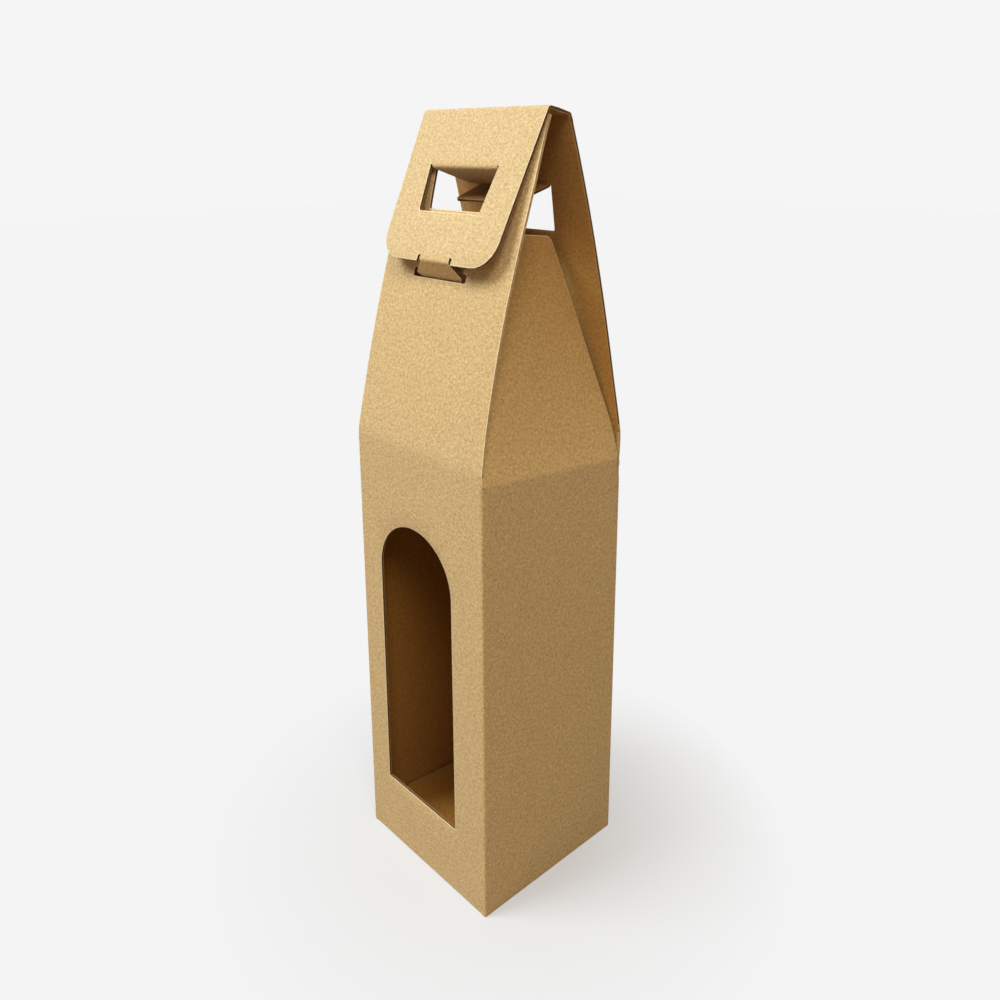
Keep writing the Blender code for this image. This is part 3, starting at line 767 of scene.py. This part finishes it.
def folding_piece(name, view, inward, outer, bodies, node, holes=(), step=8 * MM, **more):
    """A board that bends in its side view, shown in place of the CAD node, which is hidden."""
    low = min(p[1] for p in outer)
    high = max(p[1] for p in outer)
    wide = max(abs(p[0]) for p in outer)
    us = lines_between(-wide, wide, 12 * MM)
    made = board(name, outer, holes, us, view.lines(low, high, step), side_fold(view, inward), **more)
    blend_over_fold(made, view, inward, *bodies)
    stand_for(made, node)


def handle_flap(name, start, angle, end_angle, inward, body):
    """A flap from its root in the panel, over its soft fold, to an end that heads for end_angle degrees."""
    turn = math.radians(end_angle) - angle
    past = BOARD * math.tan(abs(turn) / 2)
    view, length = folded(start, angle, [FLAP_ROOT + past, FLAP_LENGTH + past], [turn])
    outer = symmetric([(HOLE_TOP - FLAP_SIDE, 0), (HOLE_LOW - FLAP_SIDE, length, 3 * MM)])
    seams = [(-FAR, FAR, -FAR, FLAP_ROOT)]
    folding_piece(f"{name}_flap_board", view, inward, outer, (body, name), f"{name}_flap", seams=seams)


# The lid's side view, and the place where its tongue passes through the front gable's slot

TONGUE_FALL = math.radians(51.5)
LID_LEAN = math.radians(25.51)
LID_CREASE = (-2.0 * MM, HEIGHT)
LID_LENGTH = 68.5 * MM
TONGUE_FOLD = LID_LENGTH - 1.5 * MM


def slot_seat():
    """Height on the sheet of the tongue's inner face at the slot, and the tongue's length outside."""
    y0 = LID_CREASE[0] - math.sin(LID_LEAN) * TONGUE_FOLD + math.cos(LID_LEAN) * BOARD
    z0 = LID_CREASE[1] - math.cos(LID_LEAN) * TONGUE_FOLD - math.sin(LID_LEAN) * BOARD
    places = np.linspace(SHOULDER, SHOULDER + GABLE, 4000)
    y, z = front_view.at(places, 0.0, -1.0)
    above = (y - y0) * math.sin(TONGUE_FALL) + (z - z0) * math.cos(TONGUE_FALL)
    index = int(np.argmax(above > 0))
    outside = math.hypot(y[index] - y0, z[index] - z0)
    return float(places[index]), float(outside)


SEAT, TONGUE_OUTSIDE = slot_seat()


# The tube with both gable panels, one sheet from the glue flap round to the back panel

FRONT_HOLE = reach_of(front_view, -1.0, 329.969 * MM)
BACK_HOLE = reach_of(back_view, 1.0, 320.669 * MM)
SLOT_MIDDLE = -2.7 * MM
SLOT_HALF = 17 * MM
SLOT_HEIGHT = 3.8 * MM
SLOT_ROUND = 0.8 * MM
SLOT_PLAY = 0.4 * MM
# The back gable's sheet ends this far below the top crease, where the ridge strip's sheet begins.
SPINE_ROOT = 2.5 * MM
BACK_SEAM = SHOULDER + BACK_REACH - SPINE_ROOT
# Each gusset takes a strip of its wall, below the crease and this far from the middle on either side.
STRIP = 3 * MM
STRIP_HALF = 40.5 * MM
LEFT_STRIP_REAR = 38.7 * MM
# The outer floor takes a strip of the front wall.
FOOT = 3 * MM
FOOT_HALF = 39.8 * MM
# Extra grid lines, which keep the corners round beside that strip
FOOT_LINES = [1.1 * MM, 2.0 * MM, 3.0 * MM, 4.5 * MM]
GLUE_SLANT = 1.4 * MM

# Gable panels: height on the sheet and half width, in millimetres
FRONT_WIDTHS = [
    (207.5, 42.45), (212, 42.25), (229, 41.4), (250.5, 41.0), (277, 40.65), (288.5, 40.7), (310, 40.6),
    (327, 40.2),
]
BACK_WIDTHS = [(211, 42.2), (238, 41.3), (266.5, 41.0), (300.5, 40.5), (316, 40.2), (335.5, 39.6)]


def gable_outline(middle, widths, top_half, top):
    """Up the gable panel's right edge, over its top and down its left edge."""
    half = [(width * MM, height * MM) for height, width in widths] + [(top_half, top)]
    return [(middle + u, v) for u, v in half] + [(middle - u, v) for u, v in reversed(half)]


def strip_cut(middle, side, first, last):
    """The cut round a gusset's strip, from one depth in the box to another. u runs to the back on side 1."""
    high = [(middle + side * y, crease_height(y)) for y in (first, last)]
    low = [(u, v - STRIP) for u, v in high]
    return [high[0], low[0], low[1], high[1]]


def tube_outline():
    """From the glue flap's free edge along the bottom, then over the back gable and the front gable."""
    glue, front_left, front_right, back_right = CORNERS
    return [
        (0, 20 * MM), (glue - GLUE_SLANT, 14 * MM), (glue, 14 * MM), (glue, 0),
        (FRONT_MIDDLE - FOOT_HALF, 0), (FRONT_MIDDLE - FOOT_HALF, FOOT),
        (FRONT_MIDDLE + FOOT_HALF, FOOT), (FRONT_MIDDLE + FOOT_HALF, 0),
        (PLAN_LENGTH, 0), (PLAN_LENGTH, 204 * MM),
        *gable_outline(BACK_MIDDLE, BACK_WIDTHS, 39.0 * MM, BACK_SEAM),
        (back_right, 203 * MM), (back_right, 198 * MM),
        *strip_cut(RIGHT_MIDDLE, 1, STRIP_HALF, -STRIP_HALF),
        (front_right, 206 * MM),
        *gable_outline(FRONT_MIDDLE, FRONT_WIDTHS, 38.0 * MM, SHOULDER + FRONT_REACH),
        (front_left, 206 * MM),
        *strip_cut(LEFT_MIDDLE, -1, -STRIP_HALF, LEFT_STRIP_REAR),
        (glue, 198.3 * MM), (glue, 192 * MM), (glue - GLUE_SLANT, 192 * MM), (0, 186 * MM),
    ]


def slot_outline():
    left = FRONT_MIDDLE + SLOT_MIDDLE - SLOT_HALF
    right = FRONT_MIDDLE + SLOT_MIDDLE + SLOT_HALF
    low = SEAT - SLOT_PLAY - BOARD / math.cos(TONGUE_FALL)
    high = low + SLOT_HEIGHT
    return outline([(u, v, SLOT_ROUND) for u, v in ((left, low), (right, low), (right, high), (left, high))])


# Creases where another sheet goes on
tube_seams = [
    (0, FAR, BACK_SEAM - NEAR, FAR),
    (FRONT_MIDDLE - 43.5 * MM, FRONT_MIDDLE + 43.5 * MM, -FAR, FOOT + NEAR),
    (RIGHT_MIDDLE - 42.7 * MM, RIGHT_MIDDLE + STRIP_HALF + NEAR, 190 * MM, 207 * MM),
    (LEFT_MIDDLE - STRIP_HALF - NEAR, LEFT_MIDDLE + 42.7 * MM, 190 * MM, 207 * MM),
]
for middle, top in ((FRONT_MIDDLE, FRONT_HOLE), (BACK_MIDDLE, BACK_HOLE)):
    half = HOLE_TOP + NEAR
    tube_seams.append((middle - half, middle + half, top + 2 * NEAR, top + FLAP_ROOT + NEAR))
# Rims pressed shut: the front gable's sides and the foot of one side of the back gable
tube_shut = [
    (FRONT_MIDDLE + 36 * MM, FRONT_MIDDLE + 43 * MM, 200 * MM, 400 * MM),
    (FRONT_MIDDLE - 43 * MM, FRONT_MIDDLE - 36 * MM, 200 * MM, 400 * MM),
    (BACK_MIDDLE - 43 * MM, BACK_MIDDLE - 40 * MM, 195 * MM, 220 * MM),
]
tube_holes = [
    arch(FRONT_MIDDLE - 28 * MM, FRONT_MIDDLE + 22 * MM, 34 * MM, 174 * MM),
    handle_hole(FRONT_MIDDLE, FRONT_HOLE),
    handle_hole(BACK_MIDDLE, BACK_HOLE),
    slot_outline(),
]
tube = board(
    "carton_tube_with_gables", tube_outline(), tube_holes, plan.lines(0, PLAN_LENGTH, 10 * MM),
    sorted(front_view.lines(0, SHOULDER + FRONT_REACH, 7 * MM) + FOOT_LINES),
    wall_fold, "tube", TUBE_INNER, seams=tube_seams, shut=tube_shut,
)
stand_for(
    tube, "front_panel", "right_panel", "back_panel", "left_panel", "glue_flap",
    "front_gable_panel", "back_gable_panel",
)


# Ridge strip

# Depth and fall of the strip, in millimetres
SPINE_DEPTH = 11.9
SPINE_FALL = 2.85
SPINE = math.hypot(SPINE_DEPTH, SPINE_FALL) * MM
SPINE_ANGLE = math.atan2(SPINE_FALL, -SPINE_DEPTH)
# The strip's sheet ends this far before the lid's crease.
SPINE_SEAM = 5 * MM

start, angle = back_view.outer_point(BACK_SEAM)
spine_view, spine_length = folded(start, angle, [SPINE_ROOT, SPINE - SPINE_SEAM], [SPINE_ANGLE - angle])
folding_piece(
    "ridge_spine_board", spine_view, 1.0,
    symmetric([(39.0 * MM, 0), (38.9 * MM, SPINE_ROOT), (38.5 * MM, spine_length)]),
    ("tube", "spine"), "ridge_spine", step=4 * MM, seams=[LOW_SEAM, (-FAR, FAR, spine_length - NEAR, FAR)],
)


# Lid, with its handle hole and the notches beside the tongue

TONGUE_MIDDLE = 1.1 * MM
TONGUE_ROOT = 9.3 * MM
NOTCH = TONGUE_ROOT + 1.6 * MM
NOTCH_ROUND = 0.6 * MM
# The tongue's sheet starts this far above its crease.
TONGUE_ABOVE = 1.8 * MM

start, angle = spine_view.outer_point(spine_length)
lid_angle = 3 * math.pi / 2 - LID_LEAN
lid_view, lid_length = folded(start, angle, [SPINE_SEAM, LID_LENGTH], [lid_angle - angle])
lid_start = lid_length - LID_LENGTH
tongue_seam = lid_start + TONGUE_FOLD - TONGUE_ABOVE
notch_top = lid_start + LID_LENGTH - 2.9 * MM
lid_hole_top = lid_start + 25.6 * MM


def notch(side):
    """From the lid's low edge round the notch to the tongue's seam."""
    far = TONGUE_MIDDLE + side * NOTCH
    near = TONGUE_MIDDLE + side * TONGUE_ROOT
    top = [(far, notch_top, NOTCH_ROUND), (near, notch_top, NOTCH_ROUND)]
    return [(far, lid_length), *top, (near, tongue_seam)]


lid_side = [(38.5 * MM, 0), (38.3 * MM, SPINE_SEAM), (35.3 * MM, lid_length, 12 * MM)]
folding_piece(
    "lid_board", lid_view, 1.0,
    outline([*lid_side, *notch(1), *reversed(notch(-1)), *mirror(lid_side)]),
    ("spine", "lid"), "lid_panel", [handle_hole(0.0, lid_hole_top, 1)], face=LID_FACE, edge=LID_EDGE,
    seams=[
        LOW_SEAM,
        (-HOLE_TOP - NEAR, HOLE_TOP + NEAR, lid_hole_top - FLAP_ROOT - NEAR, lid_hole_top - 2 * NEAR),
        (
            TONGUE_MIDDLE - TONGUE_ROOT - NEAR, TONGUE_MIDDLE + TONGUE_ROOT + NEAR,
            tongue_seam - NEAR, tongue_seam + 2 * NEAR,
        ),
    ],
)


# Tongue, wider at the slot than at its root, with a short end behind the slot

SEAT_MIDDLE = -1.9 * MM
TONGUE_INSIDE = 2.6 * MM
SEAT_HALF = 14.6 * MM
TIP_HALF = 12.5 * MM

start, angle = lid_view.outer_point(tongue_seam)
tongue_turn = 2 * math.pi - TONGUE_FALL - lid_angle
past = BOARD * math.tan(tongue_turn / 2)
tongue_view, tongue_length = folded(
    start, angle, [TONGUE_ABOVE + past, TONGUE_OUTSIDE + TONGUE_INSIDE + past], [tongue_turn],
)
place, _, half = tongue_view.turns[0]
fold_end = place + half


def tongue_side(side):
    root = TONGUE_MIDDLE + side * TONGUE_ROOT
    return [
        (root, 0), (root, fold_end),
        (SEAT_MIDDLE + side * SEAT_HALF, tongue_length - TONGUE_INSIDE, 0.8 * MM),
        (SEAT_MIDDLE + side * TIP_HALF, tongue_length, 1 * MM),
    ]


folding_piece(
    "lid_lock_tongue_board", tongue_view, 1.0, outline([*tongue_side(1), *reversed(tongue_side(-1))]),
    ("lid", "tongue"), "lid_lock_tongue", step=3 * MM, seams=[LOW_SEAM],
)


# Handle flaps. Those of the gables run down from panels whose sheets run up.

start, angle = lid_view.outer_point(lid_hole_top - FLAP_ROOT)
handle_flap("lid_handle", start, angle, 340, 1.0, "lid")
start, angle = front_view.outer_point(FRONT_HOLE + FLAP_ROOT)
handle_flap("front_handle", start, angle + math.pi, 340, 1.0, "tube")
start, angle = back_view.outer_point(BACK_HOLE + FLAP_ROOT)
handle_flap("back_handle", start, angle + math.pi, 198, -1.0, "tube")


# Side gussets, each with a strip of the wall below its crease

GUSSET_LEAN = math.radians(12.6)
GUSSET_SLOPE = math.atan2(CREASE_FALL, CREASE_RUN)
# Millimetres by which the sheet is raised and by which it starts lower
GUSSET_RAISE = 0.17
# The inner face stays clear of the front panel, while the outer face meets it at the mitred corner.
GUSSET_FRONT = -40.92 * MM
gusset_view = Side((0, 0), math.pi / 2, [(STRIP, -GUSSET_LEAN, 0.9 * MM)], 130 * MM)


def inner_y(view, inward, height):
    """The view's inner face at this height, both in millimetres."""
    y, z = view.at(np.linspace(190 * MM, SHOULDER + GABLE, 3000), 1.0, inward)
    return float(np.interp(height * MM, z, y)) / MM


# Front and rear edge in the side view, as (y, z) in millimetres from the crease up and from the top down
GUSSET_FORE = [(-42.25, 206.05), (-42.05, 208.0), (-41.65, 209.8)]
GUSSET_FORE += [(inner_y(front_view, -1.0, z) + 0.08, z) for z in (211.4, 216, 229, 245, 260, 275, 290, 303)]
GUSSET_REAR = [
    (18.0, 299), (24.2, 275.7), (28.4, 259), (32.6, 242.6), (35.0, 233), (39.9, 214), (40.7, 207),
    (40.8, 200.5),
]


def gusset(name, side, rear_strip):
    """One gusset. side is -1 on the left, and its strip of the wall ends rear_strip behind the middle."""
    crease = Vector((0, math.cos(GUSSET_SLOPE), -math.sin(GUSSET_SLOPE)))
    upright = Vector((0, math.sin(GUSSET_SLOPE), math.cos(GUSSET_SLOPE)))
    origin = Vector((side * HALF, 0, SIDE_CREASE)) + upright * GUSSET_RAISE * MM

    def fold(u, v, depth):
        p, q = gusset_view.at(v, depth, -1.0)
        q = q - STRIP
        base = np.array(origin)[None, :] + u[:, None] * np.array(crease)[None, :]
        base = base + q[:, None] * np.array(upright)[None, :]
        base[:, 0] -= side * p
        base[:, 1] = np.where(depth > 0.5, np.maximum(base[:, 1], GUSSET_FRONT), base[:, 1])
        return base

    def local(y, z, radius=0):
        offset = Vector((0, y * MM, z * MM - SIDE_CREASE))
        return (offset.dot(crease), STRIP + offset.dot(upright) / math.cos(GUSSET_LEAN), radius)

    outer = outline([
        (-STRIP_HALF, -GUSSET_RAISE * MM), (rear_strip, -GUSSET_RAISE * MM), (rear_strip, STRIP),
        *[local(*place) for place in GUSSET_REAR[:0:-1]], local(*GUSSET_REAR[0], 4 * MM),
        local(*GUSSET_FORE[-1], 4 * MM), *[local(*place) for place in GUSSET_FORE[-2::-1]],
        (-STRIP_HALF, STRIP),
    ])
    made = board(
        f"{name}_board", outer, [], lines_between(-42 * MM, 42 * MM, 10 * MM),
        gusset_view.lines(0, 105 * MM, 10 * MM), fold, face=GUSSET_FACE,
        seams=[(-FAR, FAR, -FAR, STRIP + NEAR), (-FAR, -40.3 * MM, -FAR, STRIP + 1.0 * MM)],
        shut=[(-FAR, FAR, -FAR, 14 * MM)],
    )
    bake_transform(made)
    stand_for(made, f"{name}_flap")


gusset("left_gusset", -1, LEFT_STRIP_REAR)
gusset("right_gusset", 1, STRIP_HALF)


# Outer floor, with the strip of the front wall above its crease and the root of its lock tab

# Length of the outer floor past its fold, over which it narrows
OUTER_FLOOR = 55.7 * MM
TAB_HALF = 15 * MM
foot_view, foot_length = folded(
    (-HALF, FOOT), -math.pi / 2, [FOOT, HALF + 15.0 * MM], [math.pi / 2], 0.5 * MM,
)
foot_side = side_fold(foot_view, 1.0)
tab_root = foot_length - 2 * MM


def foot_fold(u, v, depth):
    """The inner face meets itself inside the tight fold."""
    place = foot_side(u, v, depth)
    for axis, low in ((1, depth * BOARD - HALF), (2, depth * BOARD)):
        place[:, axis] = np.where(depth > 0.5, np.maximum(place[:, axis], low), place[:, axis])
    return place


outer_floor = board(
    "bottom_front_flap_board",
    symmetric([
        (FOOT_HALF, 0), (FOOT_HALF, foot_length - OUTER_FLOOR), (30 * MM, foot_length, 8 * MM),
        (TAB_HALF, foot_length), (TAB_HALF, tab_root),
    ]),
    [], lines_between(-FOOT_HALF, FOOT_HALF, 12 * MM), foot_view.lines(0, foot_length, 12 * MM), foot_fold,
    inner=TUBE_INNER, seams=[LOW_SEAM, (-TAB_HALF - NEAR, TAB_HALF + NEAR, tab_root - NEAR, FAR)],
)
blend_over_fold(outer_floor, foot_view, 1.0, "tube", "bottom_front", 0.5 * MM)
stand_for(outer_floor, "bottom_front_flap")


# Lock tab, turned up through the inner floor's slot

TAB_RISE = math.radians(24)
past = BOARD * math.tan(TAB_RISE / 2)
tab_view, tab_length = folded((13 * MM, 0), 0.0, [2.015 * MM + past, 12.5 * MM + past], [TAB_RISE])
folding_piece(
    "bottom_lock_tab_board", tab_view, 1.0, symmetric([(TAB_HALF, 0), (TAB_HALF, tab_length, 4 * MM)]),
    ("bottom_front", "bottom_tab"), "bottom_lock_tab", step=4 * MM, inner=TUBE_INNER, seams=[LOW_SEAM],
)


# Side floor flaps and inner floor, flat boards in the walls' foot

FLAP_GAP = 0.3 * MM
FLAP_HALF = 39.8 * MM
FLOOR_CREASE = 41 * MM
# Heights of the side flaps' undersides, and of the inner floor's upper face at its crease
SIDE_FLAP_UP = 1.8 * MM
INNER_FLOOR_UP = 5.1 * MM
# The inner floor's rise toward the front, and its slot for the lock tab
FLOOR_RISE = math.radians(5)
TAB_SLOT_HALF = 16.8 * MM
TAB_SLOT = 16.1 * MM
# The lock tab's crease behind the middle, and the slot's reach past it
TAB_CREASE = 15.015 * MM
TAB_PLAY = 1.8 * MM


def flat_piece(body, outer, holes, origin, along, inward):
    """A flat board. along is its local v and inward its depth, from the plane at origin."""
    along, inward = Vector(along), Vector(inward)
    across = np.array(along.cross(inward))
    origin, along, inward = np.array(Vector(origin)), np.array(along), np.array(inward)

    def fold(u, v, depth):
        return origin + u[:, None] * across + v[:, None] * along + (depth * BOARD)[:, None] * inward

    us = lines_between(min(p[0] for p in outer), max(p[0] for p in outer), 15 * MM)
    vs = lines_between(min(p[1] for p in outer), max(p[1] for p in outer), 15 * MM)
    stand_for(board(f"{body}_flap_board", outer, holes, us, vs, fold, body, TUBE_INNER), f"{body}_flap")


for name, side in (("left", -1), ("right", 1)):
    flat_piece(
        f"bottom_{name}", symmetric([(FLAP_HALF, FLAP_GAP), (13 * MM, 28 * MM), (13 * MM, 36 * MM)]), [],
        (side * FLOOR_CREASE, 0, SIDE_FLAP_UP), (-side, 0, 0), (0, 0, 1),
    )
slot_low = FLOOR_CREASE - TAB_CREASE + TAB_PLAY - TAB_SLOT
tab_slot = symmetric([(TAB_SLOT_HALF, slot_low), (TAB_SLOT_HALF, slot_low + TAB_SLOT)])
flat_piece(
    "bottom_back", symmetric([(FLAP_HALF, FLAP_GAP), (FLAP_HALF, 68 * MM, 6 * MM)]), [tab_slot],
    (0, FLOOR_CREASE - BOARD * math.sin(FLOOR_RISE), INNER_FLOOR_UP - BOARD * math.cos(FLOOR_RISE)),
    (0, -math.cos(FLOOR_RISE), math.sin(FLOOR_RISE)), (0, math.sin(FLOOR_RISE), math.cos(FLOOR_RISE)),
)


# Floor, backdrop and light

def stage_floor():
    """Pale studio floor: an even near-white away from the box, and paper with a soft shadow near it."""
    bpy.ops.mesh.primitive_plane_add(size=8.0, location=(0, 0, -0.0001))
    floor = bpy.context.object
    floor.name = "studio_floor"
    made = new_material("studio_floor")
    n = Nodes(made)
    where = n.add("ShaderNodeTexCoord").outputs["Object"]
    cloud = n.ramp(n.noise(where, 3.0, 2.0), 0.3, 0.7)
    bounce = n.diffuse(n.mix(cloud, (0.34, 0.27, 0.20, 1), (0.33, 0.26, 0.19, 1)))
    paper = n.diffuse(n.mix(cloud, (0.72, 0.73, 0.75, 1), (0.71, 0.72, 0.74, 1)))
    even = n.glow("ShaderNodeEmission", rgb(244, 244, 244), 1.0)
    distance = n.add("ShaderNodeVectorMath", operation="LENGTH")
    n.link(where, distance.inputs[0])
    far = n.ramp(distance.outputs["Value"], 0.045, 0.15, 0.40, 1.0)
    # Nothing shines up through the slots in the box's bottom.
    split = n.add("ShaderNodeSeparateXYZ")
    n.link(where, split.inputs[0])
    reach = n.math("MAXIMUM", n.math("ABSOLUTE", split.outputs[0]), n.math("ABSOLUTE", split.outputs[1]))
    far = n.times(far, n.ramp(reach, 0.0400, 0.0415))
    path = n.add("ShaderNodeLightPath")
    shown = n.math("MAXIMUM", path.outputs["Is Camera Ray"], path.outputs["Is Glossy Ray"])
    shown = n.math("MAXIMUM", shown, path.outputs["Is Transmission Ray"])
    n.finish("ShaderNodeOutputMaterial", n.mix_shader(shown, bounce, n.mix_shader(far, paper, even)))
    floor.data.materials.append(made)


BOX_MIDDLE = Vector((0, 0, 0.2))
LIGHT_SIZE = 0.8


def area_light(name, place, power, colour):
    """A square light that points at the middle of the box."""
    data = bpy.data.lights.new(name, "AREA")
    data.shape = "SQUARE"
    data.size = LIGHT_SIZE
    data.energy = power
    data.color = colour
    made = bpy.data.objects.new(name, data)
    bpy.context.scene.collection.objects.link(made)
    made.location = place
    made.rotation_euler = (BOX_MIDDLE - Vector(place)).to_track_quat("-Z", "Y").to_euler()


def studio_world():
    """Warm light from all round, which the camera sees as a plain pale backdrop."""
    world = bpy.data.worlds.new("studio_world")
    bpy.context.scene.world = world
    world.use_nodes = True
    world.node_tree.nodes.clear()
    n = Nodes(world)
    warm = n.glow("ShaderNodeBackground", (1.0, 0.85, 0.68, 1), 0.28)
    plain = n.glow("ShaderNodeBackground", rgb(245, 245, 245), 1.0)
    path = n.add("ShaderNodeLightPath")
    shown = n.math("MAXIMUM", path.outputs["Is Camera Ray"], path.outputs["Is Transmission Ray"])
    n.finish("ShaderNodeOutputWorld", n.mix_shader(shown, warm, plain))


stage_floor()
area_light("key_light", (-0.56, -1.02, 1.60), 29.2, (0.86, 0.93, 1.0))
area_light("fill_light", (1.10, -0.74, 1.85), 17.4, (1.0, 0.93, 0.82))
studio_world()


# Camera, at the photograph's angle

AZIMUTH = math.radians(48.33)
ELEVATION = math.radians(14.62)
ROLL = math.radians(-0.562)
EYE = Vector((0.2918, -0.2654, 0.3410))
# Focal length, the point that the camera looks at, and the photograph's width, in pixels
FOCAL = 909.7
CENTRE = (478.6, 372.7)
PIXELS = 1000
# Sensor's width in the camera's own millimetres
SENSOR = 36.0


def photo_camera():
    level = math.cos(ELEVATION)
    back = Vector((math.sin(AZIMUTH) * level, -math.cos(AZIMUTH) * level, math.sin(ELEVATION)))
    right = Vector((math.cos(AZIMUTH), math.sin(AZIMUTH), 0))
    above = back.cross(right)
    # A pixel's x runs along right turned by the roll.
    across = right * math.cos(ROLL) + above * math.sin(ROLL)
    upward = above * math.cos(ROLL) - right * math.sin(ROLL)
    data = bpy.data.cameras.new("photo_camera")
    data.sensor_fit = "HORIZONTAL"
    data.sensor_width = SENSOR
    data.lens = SENSOR * FOCAL / PIXELS
    data.shift_x = (PIXELS / 2 - CENTRE[0]) / PIXELS
    data.shift_y = (CENTRE[1] - PIXELS / 2) / PIXELS
    data.clip_start = 0.01
    camera = bpy.data.objects.new("photo_camera", data)
    bpy.context.scene.collection.objects.link(camera)
    turn = Matrix((across, upward, back)).transposed().to_4x4()
    turn.translation = EYE
    camera.matrix_world = turn
    bpy.context.scene.camera = camera


photo_camera()
bpy.context.scene.view_settings.view_transform = "Standard"

note_size()
